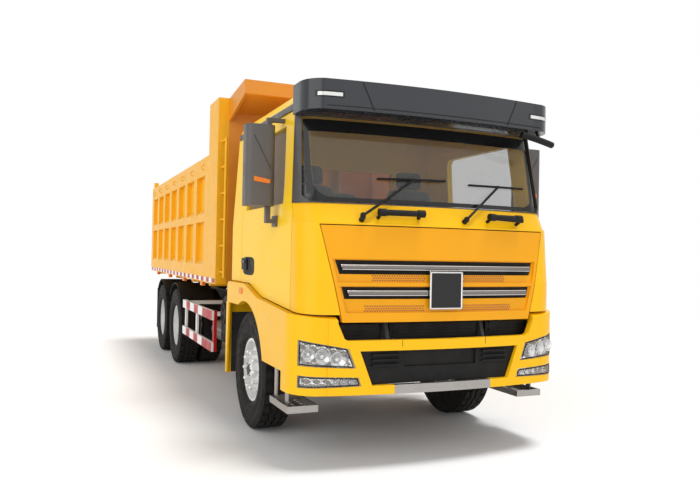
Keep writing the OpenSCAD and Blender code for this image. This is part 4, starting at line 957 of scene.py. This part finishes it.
def add_hooks(side, sign):
    """Bent rods for the ropes of a cover, along the top of the side."""
    bm = bmesh.new()
    out, up = Vector((0, sign * HOOK_HALF, 0)), Vector((0, 0, HOOK_HALF))
    for x in steps(BED_LOW.x + 0.35, BED_HIGH.x - 0.75, 6):
        at = Vector((x, sign * skin_of("bed_sides", x, HOOK_Z, sign), HOOK_Z))
        add_sweep(bm, arc([at + up, at + out + up, at + out - up, at - up]), 0.007)
    put("bed_hooks_" + side, bm, BED_PAINT, "bed")


for side_name, side_sign in SIDES:
    side_y = skin_of("bed_sides", 0.0, TAPE_Z[0] + 0.02, side_sign)
    add_tape(side_name, side_sign, side_y)
    add_bed_markers(side_name, side_sign, side_y)
    add_hooks(side_name, side_sign)

# Mud flaps, their ribs and arms as places along and ranges across and up
FLAP_X = REAR_X - 0.675
FLAP_Y, FLAP_Z = (0.640, 1.210), (0.300, 0.985)
FLAP_RIB_Y, FLAP_RIB_Z = (0.68, 1.17), (0.62, 0.70, 0.78)
FLAP_ARM_Y, FLAP_ARM_Z = (0.420, 1.200), (0.930, 0.985)


def add_mud_flaps():
    for side, sign in SIDES:
        flap, arm = bmesh.new(), bmesh.new()
        side_box(flap, sign, (FLAP_X, FLAP_X + 0.014), FLAP_Y, FLAP_Z)
        for z in FLAP_RIB_Z:
            side_box(flap, sign, (FLAP_X - 0.004, FLAP_X + 0.001), FLAP_RIB_Y, (z, z + 0.02))
        side_box(arm, sign, (FLAP_X + 0.010, FLAP_X + 0.050), FLAP_ARM_Y, FLAP_ARM_Z)
        put("mud_flap_" + side, flap, RUBBER, "chassis", round_edges=0.003)
        put("mud_flap_arm_" + side, arm, CHASSIS, "chassis", round_edges=0.003)


add_mud_flaps()

LAMP_LOW, LAMP_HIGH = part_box("tail_lamps")
# Fields of a tail lamp as ranges across, and the places of the ribs between them
AMBER_Y, WHITE_Y = (0.935, 1.050), (0.630, 0.735)
TAIL_RIB_Y = (0.742, 0.835, 0.928)


def add_tail_lenses():
    """Amber and white fields on the red tail lamps, with ribs between them."""
    for side, sign in SIDES:
        amber, white, ribs = bmesh.new(), bmesh.new(), bmesh.new()
        x = (LAMP_LOW.x - 0.004, LAMP_LOW.x + 0.004)
        z = (LAMP_LOW.z + 0.008, LAMP_HIGH.z - 0.008)
        side_box(amber, sign, x, AMBER_Y, z)
        side_box(white, sign, x, WHITE_Y, z)
        for y in TAIL_RIB_Y:
            side_box(ribs, sign, (x[0] - 0.002, x[1]), (y - 0.004, y + 0.004), (LAMP_LOW.z, LAMP_HIGH.z))
        put("tail_amber_" + side, amber, ORANGE, "chassis", round_edges=0.003)
        put("tail_white_" + side, white, WHITE, "chassis", round_edges=0.003)
        put("tail_ribs_" + side, ribs, BLACK, "chassis", round_edges=0.002)


add_tail_lenses()


# Side guards: red fields on the white rails and the red front post

GUARD_LOW, GUARD_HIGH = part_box("side_guards")
RAIL_H = 0.110
FIELDS = 7
FIELD_L = (GUARD_HIGH.x - GUARD_LOW.x) / FIELDS


def add_guard_fields():
    for side, sign in SIDES:
        red, white = bmesh.new(), bmesh.new()
        y = GUARD_HIGH.y
        for z in (GUARD_LOW.z, GUARD_HIGH.z - RAIL_H):
            for k in range(FIELDS):
                x = GUARD_LOW.x + k * FIELD_L
                field = red if k % 2 == 1 or k == FIELDS - 1 else white
                side_box(field, sign, (x + 0.001, x + FIELD_L - 0.001), (y - 0.001, y + 0.0025),
                         (z + 0.004, z + RAIL_H - 0.004))
        side_box(red, sign, (GUARD_HIGH.x - 0.064, GUARD_HIGH.x + 0.003), (y - 0.063, y - 0.027),
                 (GUARD_LOW.z, GUARD_HIGH.z))
        put("guard_red_" + side, red, RED, "chassis", smooth=False)
        put("guard_white_" + side, white, WHITE, "chassis", smooth=False)


add_guard_fields()


# Tanks and air cleaner: straps, bands and ribs

# The strap's outline as ranges across and up, and its corner radius
STRAP_Y, STRAP_Z, STRAP_R = (0.489, 1.064), (0.426, 0.994), 0.110
STRAP_HALF = 0.025
# Air tanks as their places across, with height and the bands' radius
AIR_TANK_Y = (-0.800, -0.520)
AIR_TANK_Z, BAND_R = 0.600, 0.126
# Air cleaner: its axis along and up, the ribs' places across and radius, its end face and the spokes there
CLEANER_X, CLEANER_Z = FRONT_X - 1.230, 0.960
RIB_Y, RIB_R = (-1.115, -1.02, -0.92, -0.82, -0.72), 0.190
CLEANER_END = -1.151
SPOKE_ENDS = (0.03, 0.11)


def add_tank_straps():
    low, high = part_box("fuel_tank")
    (y0, y1), (z0, z1), r = STRAP_Y, STRAP_Z, STRAP_R
    corners = ((y1 - r, z1 - r, 0), (y0 + r, z1 - r, 90), (y0 + r, z0 + r, 180), (y1 - r, z0 + r, 270))
    ring = [(y + r * math.cos(math.radians(a)), z + r * math.sin(math.radians(a)))
            for y, z, start in corners for a in steps(start, start + 90, 5)]
    bm = bmesh.new()
    for x in (low.x + 0.25, high.x - 0.25):
        near, far = ([bm.verts.new((x + off, y, z)) for y, z in ring] for off in (-STRAP_HALF, STRAP_HALF))
        for k in range(len(ring)):
            m = (k + 1) % len(ring)
            bm.faces.new((near[k], near[m], far[m], far[k]))
    put("tank_straps", bm, BRIGHT, "chassis")


def add_tank_bands():
    low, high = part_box("air_tanks")
    bm = bmesh.new()
    for x in (low.x + 0.16, high.x - 0.16):
        for y in AIR_TANK_Y:
            ring = [(x, y + c, AIR_TANK_Z + s) for c, s in circle(BAND_R, 28)]
            add_sweep(bm, ring, 0.006, 6, True)
    put("tank_bands", bm, BRIGHT, "chassis")


def round_cleaner(radius, count, y):
    return [(CLEANER_X + c, y, CLEANER_Z + s) for c, s in circle(radius, count)]


def add_cleaner_ribs():
    bm = bmesh.new()
    for y in RIB_Y:
        add_sweep(bm, round_cleaner(RIB_R, 32, y), 0.008, 6, True)
    for start, end in zip(*(round_cleaner(r, 8, CLEANER_END) for r in SPOKE_ENDS)):
        add_rod(bm, start, end, 0.005)
    put("cleaner_ribs", bm, BLACK, "chassis")


add_tank_straps()
add_tank_bands()
add_cleaner_ribs()


# Step in the bumper: grooves along the bright tread plate

GROOVE_Z = (0.590, 0.606, 0.622, 0.638)


def add_step_grooves():
    bm = bmesh.new()
    for z in GROOVE_Z:
        add_sweep(bm, [front_point("entry_steps", y, z) for y in steps(-0.42, 0.42, 8)], 0.004, 6)
    put("step_grooves", bm, BRIGHT, "chassis")


add_step_grooves()


# Seats: crowned cushions on a plain base

SEAT_X = FRONT_X - 0.080
SEAT_Y = (-0.560, 0.560)
# Cushions and base as range along from the seat's place, half width and range up, with a cushion's lean
CUSHIONS = (((-0.025, 0.485), 0.245, (1.622, 1.738), 0.0), ((-0.025, 0.105), 0.245, (1.742, 2.326), 0.105),
            ((-0.095, -0.015), 0.135, (2.334, 2.516), 0.025))
SEAT_BASE = ((0.002, 0.428), 0.128, (1.490, 1.628))


def add_cushion(bm, low, high, lean, crown=0.30):
    """A padded block: a ball drawn out towards its corners, leaning back by lean over its height."""
    for v in bmesh.ops.create_uvsphere(bm, u_segments=32, v_segments=20, radius=1.0)["verts"]:
        unit = [math.copysign(abs(c) ** crown, c) for c in v.co]
        spot = [(l + h) / 2 + u * (h - l) / 2 for u, l, h in zip(unit, low, high)]
        spot[0] -= lean * (spot[2] - low[2]) / (high[2] - low[2])
        v.co = spot


def add_seats():
    soft, base = bmesh.new(), bmesh.new()
    for y in SEAT_Y:
        for (x0, x1), half, (z0, z1), lean in CUSHIONS:
            add_cushion(soft, (SEAT_X + x0, y - half, z0), (SEAT_X + x1, y + half, z1), lean)
        (x0, x1), half, (z0, z1) = SEAT_BASE
        add_box(base, (SEAT_X + x0, y - half, z0), (SEAT_X + x1, y + half, z1))
    cushions = put("seat_cushions", soft, FABRIC, "cab", replaces=["seats"])
    put("seat_bases", base, INTERIOR, "cab", round_edges=0.008)


add_seats()


# Floor, light and sky

# Suns as the way that they shine, their strength, and their spread in degrees
SUNS = (("top", (-0.10, -0.20, -1.0), 2.0, 18), ("side", (-0.50, 0.90, -0.35), 1.35, 60),
        ("fill", (-0.9, -0.3, -0.3), 0.6, 70))


def add_sun(name, way, strength, spread):
    data = bpy.data.lights.new(name, "SUN")
    data.energy = strength
    data.angle = math.radians(spread)
    lamp = new_object(name, data)
    lamp.rotation_euler = Vector(way).to_track_quat("-Z", "Y").to_euler()


FLOOR_R = 26.0
FLOOR_Z = -0.002
# Distances from the middle at which the floor starts to fade and is gone
FLOOR_FADE = (6.5, 16.0)


def floor_material():
    """Pale floor that keeps shadows near the truck and gives way to the white sky farther out."""
    material = bpy.data.materials.new("floor")
    material.use_nodes = True
    tree = material.node_tree
    link = tree.links.new
    tree.nodes.clear()
    out = tree.nodes.new("ShaderNodeOutputMaterial")
    paint = tree.nodes.new("ShaderNodeBsdfDiffuse")
    paint.inputs["Color"].default_value = (0.90, 0.90, 0.90, 1.0)
    gone = tree.nodes.new("ShaderNodeBsdfTransparent")
    mix = tree.nodes.new("ShaderNodeMixShader")
    place = tree.nodes.new("ShaderNodeTexCoord")
    length = tree.nodes.new("ShaderNodeVectorMath")
    length.operation = "LENGTH"
    fade = tree.nodes.new("ShaderNodeMapRange")
    fade.interpolation_type = "SMOOTHSTEP"
    fade.inputs["From Min"].default_value, fade.inputs["From Max"].default_value = FLOOR_FADE
    link(place.outputs["Object"], length.inputs[0])
    link(length.outputs["Value"], fade.inputs["Value"])
    link(fade.outputs["Result"], mix.inputs["Fac"])
    link(paint.outputs["BSDF"], mix.inputs[1])
    link(gone.outputs["BSDF"], mix.inputs[2])
    link(mix.outputs["Shader"], out.inputs["Surface"])
    return material


SKY_LIGHT = 0.42


def add_sky():
    """A white sky for the camera, metal and glass, and a softer one for light."""
    world = bpy.data.worlds.new("sky")
    world.use_nodes = True
    tree = world.node_tree
    link = tree.links.new
    back = tree.nodes["Background"]
    back.inputs["Color"].default_value = (1.0, 1.0, 1.0, 1.0)
    path = tree.nodes.new("ShaderNodeLightPath")
    seen = path.outputs["Is Camera Ray"]
    for ray in ("Is Glossy Ray", "Is Transmission Ray"):
        most = tree.nodes.new("ShaderNodeMath")
        most.operation = "MAXIMUM"
        link(seen, most.inputs[0])
        link(path.outputs[ray], most.inputs[1])
        seen = most.outputs["Value"]
    level = tree.nodes.new("ShaderNodeMapRange")
    level.inputs["To Min"].default_value = SKY_LIGHT
    level.inputs["To Max"].default_value = 1.0
    link(seen, level.inputs["Value"])
    link(level.outputs["Result"], back.inputs["Strength"])
    bpy.context.scene.world = world


def add_stage():
    bm = bmesh.new()
    bmesh.ops.create_circle(bm, cap_ends=True, segments=64, radius=FLOOR_R)
    mesh = bpy.data.meshes.new("floor")
    bm.to_mesh(mesh)
    bm.free()
    mesh.materials.append(floor_material())
    floor = new_object("floor", mesh)
    floor.location = (0, 0, FLOOR_Z)
    for sun in SUNS:
        add_sun(*sun)
    add_sky()
    bpy.context.scene.view_settings.view_transform = "Standard"


add_stage()
add_camera()
